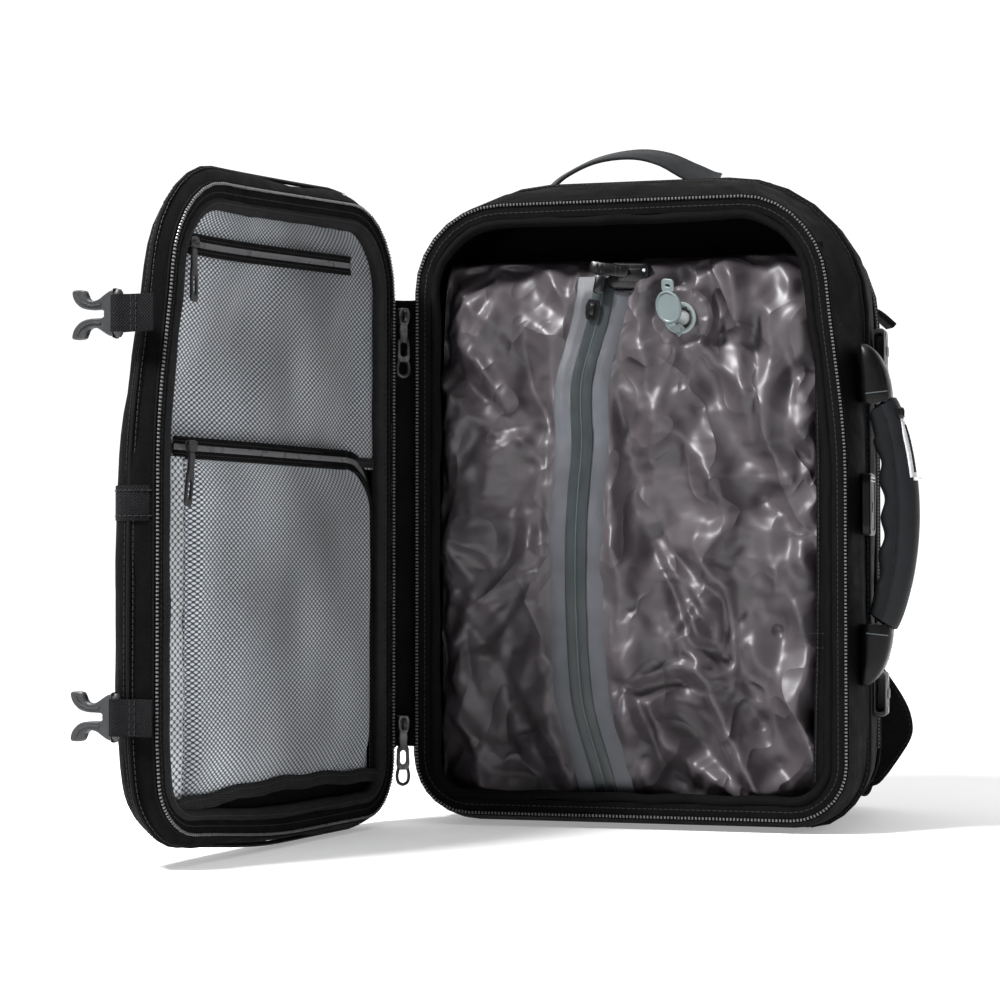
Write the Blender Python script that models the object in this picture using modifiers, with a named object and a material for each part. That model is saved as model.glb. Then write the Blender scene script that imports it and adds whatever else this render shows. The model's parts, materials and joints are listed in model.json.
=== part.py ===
"""Clamshell travel backpack with a vacuum-compression bag inside, standing upright and open.

Metres, +Z up. The origin is on the floor under the middle of the body. The body opens towards -Y
and its straps are at +Y. The lid is modelled in its closed place, in front of the body, and hangs
from an empty on the hinge axis that turns it to the open position. Run it in Blender 4.5.
"""

from collections import namedtuple
from math import acos, cos, pi, radians, sin

import bmesh
import bpy
from mathutils import Matrix, Vector

Outline = namedtuple("Outline", "half_width low high low_radius high_radius")

# Driving dimensions. An outline is a shell's shape seen from the front.
RIM = Outline(0.1725, 0.010, 0.486, 0.045, 0.070)
BODY_WAIST = Outline(0.182, 0.000, 0.510, 0.055, 0.085)
LID_WAIST = Outline(0.1755, 0.002, 0.500, 0.050, 0.080)
BODY_FRONT = -0.095
BODY_BACK = 0.095
BODY_FLARE = 0.045  # depth over which the rim widens to the waist
BODY_ROUND = 0.040  # radius of the edge round the back
LID_DEPTH = 0.042
LID_FLARE = 0.016
LID_ROUND = 0.024
LID_OPEN = 100.0  # degrees from closed
SHELL = 0.003
GAP = 0.0003  # between pieces that touch

TAPE_WIDTH = 0.013
TAPE = 0.004
TAPE_CLEARANCE = 0.0012  # between the two tapes with the lid shut
BODY_TAPE_FRONT = BODY_FRONT - GAP - TAPE
LID_TAPE_BACK = BODY_TAPE_FRONT - TAPE_CLEARANCE
LID_RIM = LID_TAPE_BACK - TAPE - GAP
LID_FACE = LID_RIM - LID_DEPTH
HINGE_OFFSET = 0.009  # from each tape's edge to the hinge axis
HINGE_X = -RIM.half_width - HINGE_OFFSET
HINGE_Y = (BODY_TAPE_FRONT + LID_TAPE_BACK) / 2

WEBBING_WIDTH = 0.025
BUCKLE_HEIGHTS = {"upper": 0.380, "lower": 0.110}
SIDE_HANDLE_TOP = 0.374
SIDE_HANDLE_BOTTOM = 0.112
GRIP_TOP = 0.328
GRIP_BOTTOM = 0.160
SIDE_HANDLE_Y = -0.070
SOCKET_MOUTH = -0.032
BAG_FRONT = -0.078
VALVE = Vector((0.040, 0.0, 0.397))

CORNER_STEPS = 5
WELD = 0.000001
RIGHT = Vector((1, 0, 0))
BACK = Vector((0, 1, 0))
UP = Vector((0, 0, 1))
FRONT = Vector((0, -1, 0))

# Finishes: colour, roughness, metallic.
BLACK_NYLON = ((0.016, 0.016, 0.018), 0.78, 0.0)
BLACK_WEBBING = ((0.022, 0.022, 0.024), 0.70, 0.0)
BLACK_ZIP = ((0.012, 0.012, 0.013), 0.50, 0.0)
BLACK_METAL = ((0.030, 0.030, 0.032), 0.35, 0.8)
BLACK_PLASTIC = ((0.014, 0.014, 0.015), 0.22, 0.0)
GREY_PLASTIC = ((0.055, 0.058, 0.064), 0.45, 0.0)
GREY_RUBBER = ((0.045, 0.050, 0.058), 0.55, 0.0)
GREY_MESH = ((0.420, 0.440, 0.470), 0.75, 0.0)
MAUVE_BAG = ((0.205, 0.185, 0.200), 0.38, 0.0)
GREEN_TAPE = ((0.022, 0.030, 0.032), 0.35, 0.0)
VALVE_GREY = ((0.420, 0.480, 0.480), 0.40, 0.0)
VALVE_WHITE = ((0.700, 0.740, 0.750), 0.45, 0.0)
CHROME = ((0.800, 0.800, 0.820), 0.08, 1.0)
FOAM_GREY = ((0.090, 0.090, 0.095), 0.85, 0.0)

collection = None


# ---------------------------------------------------------------- helpers


def start():
    """Empty the scene and make the object's collection."""
    global collection
    for old in list(bpy.data.objects):
        bpy.data.objects.remove(old, do_unlink=True)
    collection = bpy.data.collections.new("travel_backpack")
    bpy.context.scene.collection.children.link(collection)


def own_material(name, finish):
    """A Principled material for one object."""
    colour, roughness, metallic = finish
    material = bpy.data.materials.new(name)
    material.use_nodes = True
    shader = material.node_tree.nodes["Principled BSDF"]
    shader.inputs["Base Color"].default_value = (*colour, 1.0)
    shader.inputs["Roughness"].default_value = roughness
    shader.inputs["Metallic"].default_value = metallic
    return material


def add(name, data, finish, parent=None, matrix=None):
    """An object of the backpack, with its own material."""
    item = bpy.data.objects.new(name, data)
    data.materials.append(own_material(name, finish))
    collection.objects.link(item)
    item.parent = parent
    item.matrix_local = matrix or Matrix()
    return item


def pivot(name, matrix, parent=None):
    """An empty on a joint's axis."""
    empty = bpy.data.objects.new(name, None)
    empty.empty_display_size = 0.02
    collection.objects.link(empty)
    empty.parent = parent
    empty.matrix_local = matrix
    return empty


def facing(origin, across, up):
    """The matrix whose X axis is across, whose Y axis is up, and whose origin is given."""
    x = Vector(across).normalized()
    y = Vector(up).normalized()
    matrix = Matrix((x, y, x.cross(y))).transposed().to_4x4()
    matrix.translation = origin
    return matrix


def as_closed(matrix=None):
    """A place in the closed lid's own frame, seen from the hinge axis."""
    return Matrix.Translation((-HINGE_X, -HINGE_Y, 0)) @ (matrix or Matrix())


def solidify(item, thickness, offset):
    modifier = item.modifiers.new("thickness", "SOLIDIFY")
    modifier.thickness = thickness
    modifier.offset = offset
    modifier.use_even_offset = True


def rounded(width, height, radius, centre=(0.0, 0.0), steps=3):
    """A rectangle with round corners, anticlockwise."""
    points = []
    for quarter, (side, level) in enumerate(((1, -1), (1, 1), (-1, 1), (-1, -1))):
        x = centre[0] + side * (width / 2 - radius)
        y = centre[1] + level * (height / 2 - radius)
        for step in range(steps + 1):
            angle = radians(90 * (quarter - 1 + step / steps))
            points.append((x + radius * cos(angle), y + radius * sin(angle)))
    return points


def circle(radius, steps=24, centre=(0.0, 0.0)):
    angles = [2 * pi * step / steps for step in range(steps)]
    return [(centre[0] + radius * cos(a), centre[1] + radius * sin(a)) for a in angles]


def plate(name, outlines, thickness, finish, matrix, parent=None):
    """A flat piece: the first outline with the others cut out of it."""
    curve = bpy.data.curves.new(name, "CURVE")
    curve.dimensions = "2D"
    curve.fill_mode = "BOTH"
    curve.extrude = thickness / 2
    for outline in outlines:
        spline = curve.splines.new("POLY")
        spline.points.add(len(outline) - 1)
        for point, (x, y) in zip(spline.points, outline):
            point.co = (x, y, 0, 1)
        spline.use_cyclic_u = True
    return add(name, curve, finish, parent, matrix)


def block(name, low, high, edge, finish, parent=None, matrix=None):
    """A box between two corners, with bevelled edges."""
    low = Vector(low)
    high = Vector(high)
    mesh = bpy.data.meshes.new(name)
    bm = bmesh.new()
    bmesh.ops.create_cube(bm, size=1.0)
    for vert in bm.verts:
        vert.co = Vector(((high - low)[i] * vert.co[i] for i in range(3))) + (low + high) / 2
    bm.to_mesh(mesh)
    bm.free()
    item = add(name, mesh, finish, parent, matrix)
    bevel = item.modifiers.new("edge", "BEVEL")
    bevel.width = edge
    bevel.segments = 2
    return item


def sheet(name, columns, rows, place, finish, parent=None, matrix=None, ring=False, caps=None):
    """A grid bent so that its crossing (column, row) lies at place(column, row).

    A ring's last column meets its first. Its open edges are capped where caps(vertex) is true.
    """
    mesh = bpy.data.meshes.new(name)
    bm = bmesh.new()
    bmesh.ops.create_grid(bm, x_segments=columns, y_segments=rows, size=0.5)
    for vert in bm.verts:
        column = round((vert.co.x + 0.5) * columns)
        row = round((vert.co.y + 0.5) * rows)
        vert.co = place(column, row)
    if ring:
        bmesh.ops.remove_doubles(bm, verts=bm.verts, dist=WELD)
    if caps:
        edges = [e for e in bm.edges if e.is_boundary and all(caps(v) for v in e.verts)]
        bmesh.ops.holes_fill(bm, edges=edges, sides=0)
    bmesh.ops.recalc_face_normals(bm, faces=bm.faces)
    bm.to_mesh(mesh)
    bm.free()
    item = add(name, mesh, finish, parent, matrix)
    if ring:
        mesh.shade_smooth()
        mesh.set_sharp_from_angle(angle=radians(40))
    return item


def curve_point(points, share):
    """A point on the smooth curve through the points, from share 0 to 1, and the way it runs."""
    position = share * (len(points) - 1)
    index = min(int(position), len(points) - 2)
    t = position - index
    before = Vector(points[max(index - 1, 0)])
    first = Vector(points[index])
    second = Vector(points[index + 1])
    after = Vector(points[min(index + 2, len(points) - 1)])
    leave = (second - before) / 2
    arrive = (after - first) / 2
    place = (
        first * (2 * t**3 - 3 * t**2 + 1)
        + leave * (t**3 - 2 * t**2 + t)
        + second * (3 * t**2 - 2 * t**3)
        + arrive * (t**3 - t**2)
    )
    along = (
        first * (6 * t**2 - 6 * t)
        + leave * (3 * t**2 - 4 * t + 1)
        + second * (6 * t - 6 * t**2)
        + arrive * (3 * t**2 - 2 * t)
    )
    return place, along.normalized()


def ribbon(name, points, widths, thickness, across, finish, rows=12, parent=None, matrix=None):
    """A flat strap on the smooth curve through the points, as wide as widths from end to end."""

    def place(column, row):
        share = row / rows
        centre, along = curve_point(points, share)
        side = (Vector(across) - along * along.dot(Vector(across))).normalized()
        width = widths[0] + (widths[1] - widths[0]) * share
        return centre + side * width * (column / 2 - 0.5)

    item = sheet(name, 2, rows, place, finish, parent, matrix)
    solidify(item, thickness, 0)
    return item


# ---------------------------------------------------------------- outlines


def inset(outline, amount):
    return Outline(
        outline.half_width - amount,
        outline.low + amount,
        outline.high - amount,
        outline.low_radius - amount,
        outline.high_radius - amount,
    )


def mix(first, second, share):
    return Outline(*(a + (b - a) * share for a, b in zip(first, second)))


def outline_points(outline, steps=CORNER_STEPS):
    """Points (x, z) round an outline, from the foot of its right-hand side, anticlockwise."""
    right = outline.half_width
    corners = (
        (right - outline.low_radius, outline.low + outline.low_radius, outline.low_radius),
        (right - outline.high_radius, outline.high - outline.high_radius, outline.high_radius),
        (outline.high_radius - right, outline.high - outline.high_radius, outline.high_radius),
        (outline.low_radius - right, outline.low + outline.low_radius, outline.low_radius),
    )
    points = []
    for quarter, (x, z, radius) in enumerate(corners):
        for step in range(steps + 1):
            angle = radians(90 * (quarter - 1 + step / steps))
            points.append((x + radius * cos(angle), z + radius * sin(angle)))
    return points


def body_outline(y):
    """The body shell's outline at a depth in front of its rounded back edge."""
    share = max(0.0, (BODY_FRONT + BODY_FLARE - y) / BODY_FLARE) ** 2
    return mix(BODY_WAIST, RIM, share)


def shell_sections(rim_y, face_y, waist, flare, edge_radius):
    """(y, outline) from the rim, out to the waist, and round the edge to the flat face."""
    way = 1 if face_y > rim_y else -1
    sections = []
    for step in range(4):
        share = (1 - step / 3) ** 2
        sections.append((rim_y + way * flare * step / 3, mix(waist, RIM, share)))
    for step in range(5):
        angle = radians(90 * step / 4)
        y = face_y - way * edge_radius * (1 - sin(angle))
        sections.append((y, inset(waist, edge_radius * (1 - cos(angle)))))
    return sections


def loft(name, sections, finish, caps=None, parent=None, matrix=None):
    """A skin through closed outlines at given depths."""
    rings = [[Vector((x, y, z)) for x, z in outline_points(outline)] for y, outline in sections]
    count = len(rings[0])

    def place(column, row):
        return rings[row][column % count]

    return sheet(name, count, len(rings) - 1, place, finish, parent, matrix, True, caps)


# ---------------------------------------------------------------- body


def build_body_shell():
    sections = shell_sections(BODY_FRONT, BODY_BACK, BODY_WAIST, BODY_FLARE, BODY_ROUND)
    shell = loft("body_shell", sections, BLACK_NYLON, lambda v: v.co.y > BODY_BACK - WELD)
    solidify(shell, SHELL, -1)

    depths = (BODY_FRONT + 0.0005, -0.080, -0.065, -0.045, -0.020)
    strip = [(y, inset(body_outline(y), SHELL + 0.0015)) for y in depths]
    lining = loft("body_lining", strip, BLACK_NYLON)
    solidify(lining, 0.0012, -1)

    tape = [outline_points(RIM), outline_points(inset(RIM, TAPE_WIDTH))]
    middle = (0, BODY_TAPE_FRONT + TAPE / 2, 0)
    plate("body_zip_tape", tape, TAPE, BLACK_ZIP, facing(middle, RIGHT, UP))


def build_rear_zip():
    """The closed zip of the laptop compartment, over the top and down both sides."""
    path = outline_points(inset(BODY_WAIST, -0.0011))
    path = path[CORNER_STEPS : 3 * (CORNER_STEPS + 1) + 1]
    front_edge = 0.030
    width = 0.018

    def place(column, row):
        x, z = path[column]
        return Vector((x, front_edge + width * row, z))

    tape = sheet("rear_zip_tape", len(path) - 1, 1, place, BLACK_ZIP)
    solidify(tape, 0.0012, 0)
    side = -BODY_WAIST.half_width - 0.0022
    y = front_edge + width / 2
    z = 0.300
    block(
        "rear_zip_slider", (side - 0.005, y - 0.005, z - 0.007), (side, y + 0.005, z + 0.007),
        0.0015, BLACK_METAL,
    )
    place_of_pull = facing((side - 0.0025, y, z - 0.0082), BACK, UP)
    zip_pull("rear_zip_pull", 0.008, 0.030, 0.002, place_of_pull)


def zip_pull(name, width, length, thickness, matrix, parent=None, finish=BLACK_METAL):
    """A puller that hangs from its pivot, with an eye at its top and a loop at its foot."""
    start_down = 0.0015
    centre = (0.0, -start_down - length / 2)
    eye = rounded(width * 0.42, length * 0.16, width * 0.15, (0, -start_down - length * 0.16))
    loop = rounded(width * 0.46, length * 0.16, width * 0.15, (0, -start_down - length * 0.83))
    outline = rounded(width, length, width * 0.35, centre)
    return plate(name, [outline, eye, loop], thickness, finish, matrix, parent)


def build_main_zip_sliders():
    """Two sliders parked at the ends of the hinge, with their pullers in the gap of the hinge."""
    bisector = radians(-LID_OPEN / 2)
    facing_way = Vector((cos(bisector), sin(bisector), 0))
    across = facing_way.cross(UP) * -1
    for name, z in (("low", 0.078), ("high", 0.402)):
        half = Vector((0.004, 0.0035, 0.006))
        middle = Vector((HINGE_X, HINGE_Y, z))
        block(f"main_zip_slider_{name}", middle - half, middle + half, 0.0012, BLACK_METAL)
        place = facing((HINGE_X, HINGE_Y, z - half.z - 0.0012), across, UP)
        zip_pull(f"main_zip_pull_{name}", 0.011, 0.036, 0.0022, place)


def build_hinge_gusset():
    """The fabric that joins body and lid, gathered on the hinge axis."""
    bottom = 0.115
    top = 0.350
    mesh = bpy.data.meshes.new("hinge_gusset")
    bm = bmesh.new()
    bmesh.ops.create_cone(
        bm, cap_ends=True, segments=12, radius1=0.0035, radius2=0.0035, depth=top - bottom
    )
    bm.to_mesh(mesh)
    bm.free()
    place = Matrix.Translation((HINGE_X, HINGE_Y, (bottom + top) / 2))
    add("hinge_gusset", mesh, BLACK_NYLON, None, place)


def build_inside():
    """Divider, laptop sleeve and the stitched strap down the right-hand side of the mouth."""
    divider = inset(BODY_WAIST, 0.008)
    place = facing((0, 0.026, 0), RIGHT, UP)
    plate("divider_panel", [outline_points(divider)], 0.004, BLACK_NYLON, place)
    block("laptop_sleeve", (-0.140, 0.036, 0.040), (0.140, 0.050, 0.400), 0.004, FOAM_GREY)
    block("inner_strap", (0.143, -0.0885, 0.050), (0.163, -0.0860, 0.440), 0.0008, BLACK_WEBBING)


def build_back():
    """The back panel with its two pads and the band that slides over a trolley handle."""
    panel = rounded(0.270, 0.420, 0.050, (0, 0.255), 5)
    middle = BODY_BACK + GAP + 0.0025
    plate("back_panel", [panel], 0.005, BLACK_NYLON, facing((0, middle, 0), RIGHT, UP))
    pad_front = middle + 0.0025 + GAP
    for side, name in ((1, "right"), (-1, "left")):
        pad = rounded(0.108, 0.355, 0.025, (side * 0.067, 0.2375), 4)
        place = facing((0, pad_front + 0.0045, 0), RIGHT, UP)
        plate(f"back_pad_{name}", [pad], 0.009, FOAM_GREY, place)
    points = [
        (0.1300, 0.1020, 0.25),
        (0.1285, 0.1120, 0.25),
        (0.1180, 0.1165, 0.25),
        (0.0, 0.1168, 0.25),
        (-0.1180, 0.1165, 0.25),
        (-0.1285, 0.1120, 0.25),
        (-0.1300, 0.1020, 0.25),
    ]
    ribbon("luggage_band", points, (0.110, 0.110), 0.0012, UP, BLACK_NYLON, 24)


def build_shoulder_straps():
    padded = [
        (0.058, 0.1085, 0.462),
        (0.058, 0.1095, 0.447),
        (0.060, 0.1250, 0.412),
        (0.066, 0.1310, 0.370),
        (0.080, 0.1330, 0.300),
        (0.100, 0.1320, 0.220),
        (0.125, 0.1310, 0.140),
        (0.1455, 0.1310, 0.094),
        (0.1515, 0.1310, 0.0605),
    ]
    loose = [
        (0.1515, 0.1310, 0.0275),
        (0.1515, 0.1303, 0.0225),
        (0.151, 0.1265, 0.0155),
        (0.147, 0.1160, 0.011),
        (0.142, 0.1040, 0.017),
        (0.139, 0.0985, 0.031),
    ]
    for side, name in ((1, "right"), (-1, "left")):
        pad = [(side * x, y, z) for x, y, z in padded]
        ribbon(
            f"shoulder_strap_{name}", pad, (0.062, 0.044), 0.011, RIGHT, BLACK_NYLON, 22,
        )
        tail = [(side * x, y, z) for x, y, z in loose]
        ribbon(f"strap_webbing_{name}", tail, (WEBBING_WIDTH,) * 2, 0.0016, RIGHT, BLACK_WEBBING)
        lock = rounded(0.032, 0.024, 0.004, (0, -0.0135))
        slots = [rounded(0.026, 0.004, 0.001, (0, y)) for y in (-0.0065, -0.0135, -0.0205)]
        place = facing((side * 0.1515, 0.1310, 0.0555), RIGHT, UP)
        plate(f"ladder_lock_{name}", [lock, *slots], 0.006, GREY_PLASTIC, place)


def build_top_handle():
    """An arched band that starts where it leaves its sewn ends."""
    half_span = 0.066
    anchor_span = 0.085
    rise = 0.012
    columns = 14

    def place(column, row):
        x = half_span * (2 * column / columns - 1)
        z = 0.001 + rise * (1 - (x / anchor_span) ** 4)
        return Vector((x, 0.026 * (row / 2 - 0.5), z))

    axis = Matrix.Translation((0, -0.030, BODY_WAIST.high + 0.001))
    handle = sheet("top_handle", columns, 2, place, GREY_RUBBER, None, axis)
    solidify(handle, 0.003, 0)


def grip_section(share):
    """Centre x and half thickness of the side grip, from its top (0) to its foot (1)."""
    swell = sin(pi * share) ** 0.7
    return 0.1937 + 0.0155 * swell, 0.0098 + 0.0042 * swell


def build_side_handle():
    """Two end cowls fixed to the side, the grip between them and its bright insert."""
    half_width = 0.0125
    around = 16
    rows = 14

    def grip(column, row):
        share = row / rows
        x, half = grip_section(share)
        angle = 2 * pi * column / around
        z = GRIP_TOP + (GRIP_BOTTOM - GRIP_TOP) * share
        return Vector((x + half * cos(angle), SIDE_HANDLE_Y + half_width * sin(angle), z))

    ends = (GRIP_TOP - WELD, GRIP_BOTTOM + WELD)
    sheet(
        "side_handle_grip", around, rows, grip, GREY_RUBBER, ring=True,
        caps=lambda v: v.co.z > ends[0] or v.co.z < ends[1],
    )

    def trim(column, row):
        share = 0.10 + 0.24 * row / 8
        x, half = grip_section(share)
        angle = radians(24) * (column / 2 - 1)
        z = GRIP_TOP + (GRIP_BOTTOM - GRIP_TOP) * share
        out = half + 0.0013
        return Vector((x + out * cos(angle), SIDE_HANDLE_Y + half_width * sin(angle), z))

    insert = sheet("side_handle_trim", 4, 8, trim, CHROME)
    solidify(insert, 0.0012, 0)

    inner = BODY_WAIST.half_width + 0.0004
    spans = (
        ("upper", GRIP_TOP + 0.001, SIDE_HANDLE_TOP),
        ("lower", GRIP_BOTTOM - 0.001, SIDE_HANDLE_BOTTOM),
    )
    for name, thick_end, thin_end in spans:
        mesh = bpy.data.meshes.new(f"side_handle_cowl_{name}")
        bm = bmesh.new()
        bmesh.ops.create_cube(bm, size=1.0)
        for vert in bm.verts:
            outer = 0.021 if vert.co.z < 0 else 0.008
            narrow = 0.0145 if vert.co.z < 0 else 0.0110
            vert.co = (
                inner + outer * (vert.co.x + 0.5),
                SIDE_HANDLE_Y + 2 * narrow * vert.co.y,
                thick_end + (thin_end - thick_end) * (vert.co.z + 0.5),
            )
        bmesh.ops.recalc_face_normals(bm, faces=bm.faces)
        bm.to_mesh(mesh)
        bm.free()
        cowl = add(f"side_handle_cowl_{name}", mesh, BLACK_PLASTIC)
        bevel = cowl.modifiers.new("edge", "BEVEL")
        bevel.width = 0.003
        bevel.segments = 2


def build_side_plate():
    """The framed plate on the side panel, behind the grip."""
    centre = (BODY_WAIST.half_width + 0.0019, -0.0605, 0.251)
    frame = rounded(0.035, 0.048, 0.004)
    window = rounded(0.027, 0.040, 0.002)
    plate(
        "side_plate_frame", [frame, window], 0.003, BLACK_METAL, facing(centre, BACK, UP),
    )
    insert = rounded(0.0262, 0.0392, 0.0018)
    inner = (centre[0] - 0.0003, centre[1], centre[2])
    plate("side_plate_insert", [insert], 0.002, BLACK_PLASTIC, facing(inner, BACK, UP))


def build_buckle_sockets():
    """The two sockets on the right-hand side that the lid's plugs click into."""
    cutters = bpy.data.collections.new("cutters")
    bpy.context.scene.collection.children.link(cutters)
    inner = BODY_WAIST.half_width + 0.0012
    for name, z in BUCKLE_HEIGHTS.items():
        socket = block(
            f"buckle_socket_{name}", (inner, SOCKET_MOUTH, z - 0.0175),
            (inner + 0.0095, SOCKET_MOUTH + 0.030, z + 0.0175),
            0.0015, GREY_PLASTIC,
        )
        mesh = bpy.data.meshes.new(f"socket_mouth_{name}")
        bm = bmesh.new()
        bmesh.ops.create_cube(bm, size=1.0)
        bmesh.ops.scale(bm, vec=(0.0062, 0.052, 0.030), verts=bm.verts)
        bmesh.ops.translate(bm, vec=(inner + 0.00475, SOCKET_MOUTH, z), verts=bm.verts)
        bm.to_mesh(mesh)
        bm.free()
        cutter = bpy.data.objects.new(f"socket_mouth_{name}", mesh)
        cutters.objects.link(cutter)
        cutter.hide_render = True
        cutter.display_type = "WIRE"
        cut = socket.modifiers.new("mouth", "BOOLEAN")
        cut.operation = "DIFFERENCE"
        cut.solver = "EXACT"
        cut.object = cutter
        tail = SOCKET_MOUTH + 0.0305
        points = [(inner + 0.0035, tail, z), (inner + 0.0012, tail + 0.012, z), (inner, tail + 0.028, z)]
        ribbon(
            f"socket_webbing_{name}", points, (WEBBING_WIDTH,) * 2, 0.0014, UP, BLACK_WEBBING, 4,
        )


# ---------------------------------------------------------------- vacuum bag


def bag_zip_x(z):
    """The middle of the bag's welded zip bows to the left half way up."""
    return -0.049 + 0.0225 * ((z - 0.235) / 0.185) ** 2


def build_vacuum_bag():
    block("vacuum_bag", (-0.150, BAG_FRONT, 0.018), (0.150, 0.020, 0.447), 0.026, MAUVE_BAG)
    top = 0.416
    bottom = 0.046
    half_width = 0.022
    rows = 16

    def tape(column, row):
        z = bottom + (top - bottom) * row / rows
        return Vector((bag_zip_x(z) + half_width * (column - 1), BAG_FRONT - 0.0010, z))

    strip = sheet("bag_zip_tape", 2, rows, tape, GREEN_TAPE)
    solidify(strip, 0.0012, 0)
    face = BAG_FRONT - 0.0020
    block("bag_zip_dock", (-0.0200, face - 0.0062, 0.4175), (0.0127, face, 0.4385), 0.002, BLACK_PLASTIC)
    x = bag_zip_x(0.406)
    block(
        "bag_zip_slider", (x - 0.006, face - 0.005, 0.397), (x + 0.006, face, 0.413),
        0.0015, BLACK_PLASTIC,
    )
    place = facing((x, face - 0.0085, 0.4145), RIGHT, UP)
    stem_and_bar = [
        (-0.003, 0.001), (0.003, 0.001), (0.003, 0.0125), (0.0225, 0.0125),
        (0.0225, 0.0185), (-0.0085, 0.0215), (-0.0085, 0.0150), (-0.003, 0.0142),
    ]
    plate("bag_zip_pull", [stem_and_bar], 0.0044, BLACK_PLASTIC, place)


def build_valve():
    """Flange, seat ring, membrane, and the cap that swings over the seat."""
    face = BAG_FRONT - GAP
    middle = VALVE + FRONT * -(face - 0.0006)
    plate("valve_flange", [circle(0.023, 32)], 0.0012, MAUVE_BAG, facing(middle, RIGHT, UP))
    face -= 0.0012 + GAP
    middle = VALVE + FRONT * -(face - 0.003)
    rings = [circle(0.0125, 28), circle(0.0085, 24)]
    plate("valve_ring", rings, 0.006, VALVE_GREY, facing(middle, RIGHT, UP))
    middle = VALVE + FRONT * -(face - 0.001)
    plate("valve_membrane", [circle(0.0080, 20)], 0.002, VALVE_WHITE, facing(middle, RIGHT, UP))
    face -= 0.006 + 2 * GAP

    # The cap's strap starts at its pivot, below and to the left of the seat. Shut, the cap's middle
    # line runs from the pivot over the seat; open, it runs up and a little forwards.
    shut = Vector((0.0125, 0.0, 0.0105))
    reach = shut.length
    shut_way = shut.normalized()
    open_way = Vector((0.03, -0.36, 0.93)).normalized()
    hinge = VALVE - shut + FRONT * -(face - 0.001)
    disc = [
        (0.0125 * cos(a), reach + 0.0125 * sin(a))
        for a in (radians(-60 + 300 * step / 20) for step in range(8))
    ]
    disc += [(0.0048, reach + 0.0205), (-0.0048, reach + 0.0205)]
    disc += [
        (0.0125 * cos(a), reach + 0.0125 * sin(a))
        for a in (radians(-60 + 300 * step / 20) for step in range(13, 21))
    ]
    disc += [(-0.0035, -0.001), (0.0035, -0.001)]
    flat = facing((0, 0, 0), shut_way.cross(BACK) * -1, shut_way)
    turn = Matrix.Rotation(acos(shut_way.dot(open_way)), 4, shut_way.cross(open_way))
    plate("valve_cap", [disc], 0.002, VALVE_GREY, Matrix.Translation(hinge) @ turn @ flat)


# ---------------------------------------------------------------- lid


def build_lid(axis):
    sections = shell_sections(LID_RIM, LID_FACE, LID_WAIST, LID_FLARE, LID_ROUND)
    shell = loft(
        "lid_shell", sections, BLACK_NYLON, lambda v: v.co.y < LID_FACE + WELD, axis, as_closed()
    )
    solidify(shell, SHELL, -1)
    tape = [outline_points(RIM), outline_points(inset(RIM, TAPE_WIDTH))]
    middle = facing((0, LID_TAPE_BACK - TAPE / 2, 0), RIGHT, UP)
    plate("lid_zip_tape", tape, TAPE, BLACK_ZIP, as_closed(middle), axis)
    lining = outline_points(inset(RIM, 0.006))
    middle = facing((0, -0.1130, 0), RIGHT, UP)
    plate("lid_lining", [lining], 0.0014, BLACK_NYLON, as_closed(middle), axis)


def build_pockets(axis):
    """The flat mesh pocket above and the deeper one below, each with its zip."""
    upper = rounded(0.310, 0.142, 0.012, (0, 0.3610))
    place = facing((0, -0.1090, 0), RIGHT, UP)
    plate("mesh_pocket_upper", [upper], 0.0014, GREY_MESH, as_closed(place), axis)
    block(
        "mesh_pocket_lower", (-0.138, -0.1118, 0.050), (0.138, -0.0985, 0.2765), 0.004,
        GREY_MESH, axis, as_closed(),
    )
    block(
        "pocket_elastic", (-0.140, -0.1118, 0.036), (0.140, -0.1040, 0.0475), 0.0015,
        BLACK_WEBBING, axis, as_closed(),
    )
    zips = (
        ("upper", -0.105, 0.152, 0.4405, -0.1110, -0.1080, 0.142),
        ("lower", -0.105, 0.152, 0.2845, -0.1015, -0.0985, 0.140),
    )
    for name, left, right, z, low_y, high_y, slider_x in zips:
        block(
            f"pocket_zip_{name}", (left, low_y, z - 0.006), (right, high_y, z + 0.006), 0.0008,
            BLACK_ZIP, axis, as_closed(),
        )
        front = high_y + 0.0004
        block(
            f"pocket_slider_{name}", (slider_x - 0.005, front, z - 0.0035),
            (slider_x + 0.005, front + 0.0035, z + 0.0045), 0.001, BLACK_METAL, axis, as_closed(),
        )
        place = facing((slider_x, front + 0.0020, z - 0.0047), RIGHT, UP)
        zip_pull(f"pocket_pull_{name}", 0.0065, 0.026, 0.0016, as_closed(place), axis, BLACK_ZIP)


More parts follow.
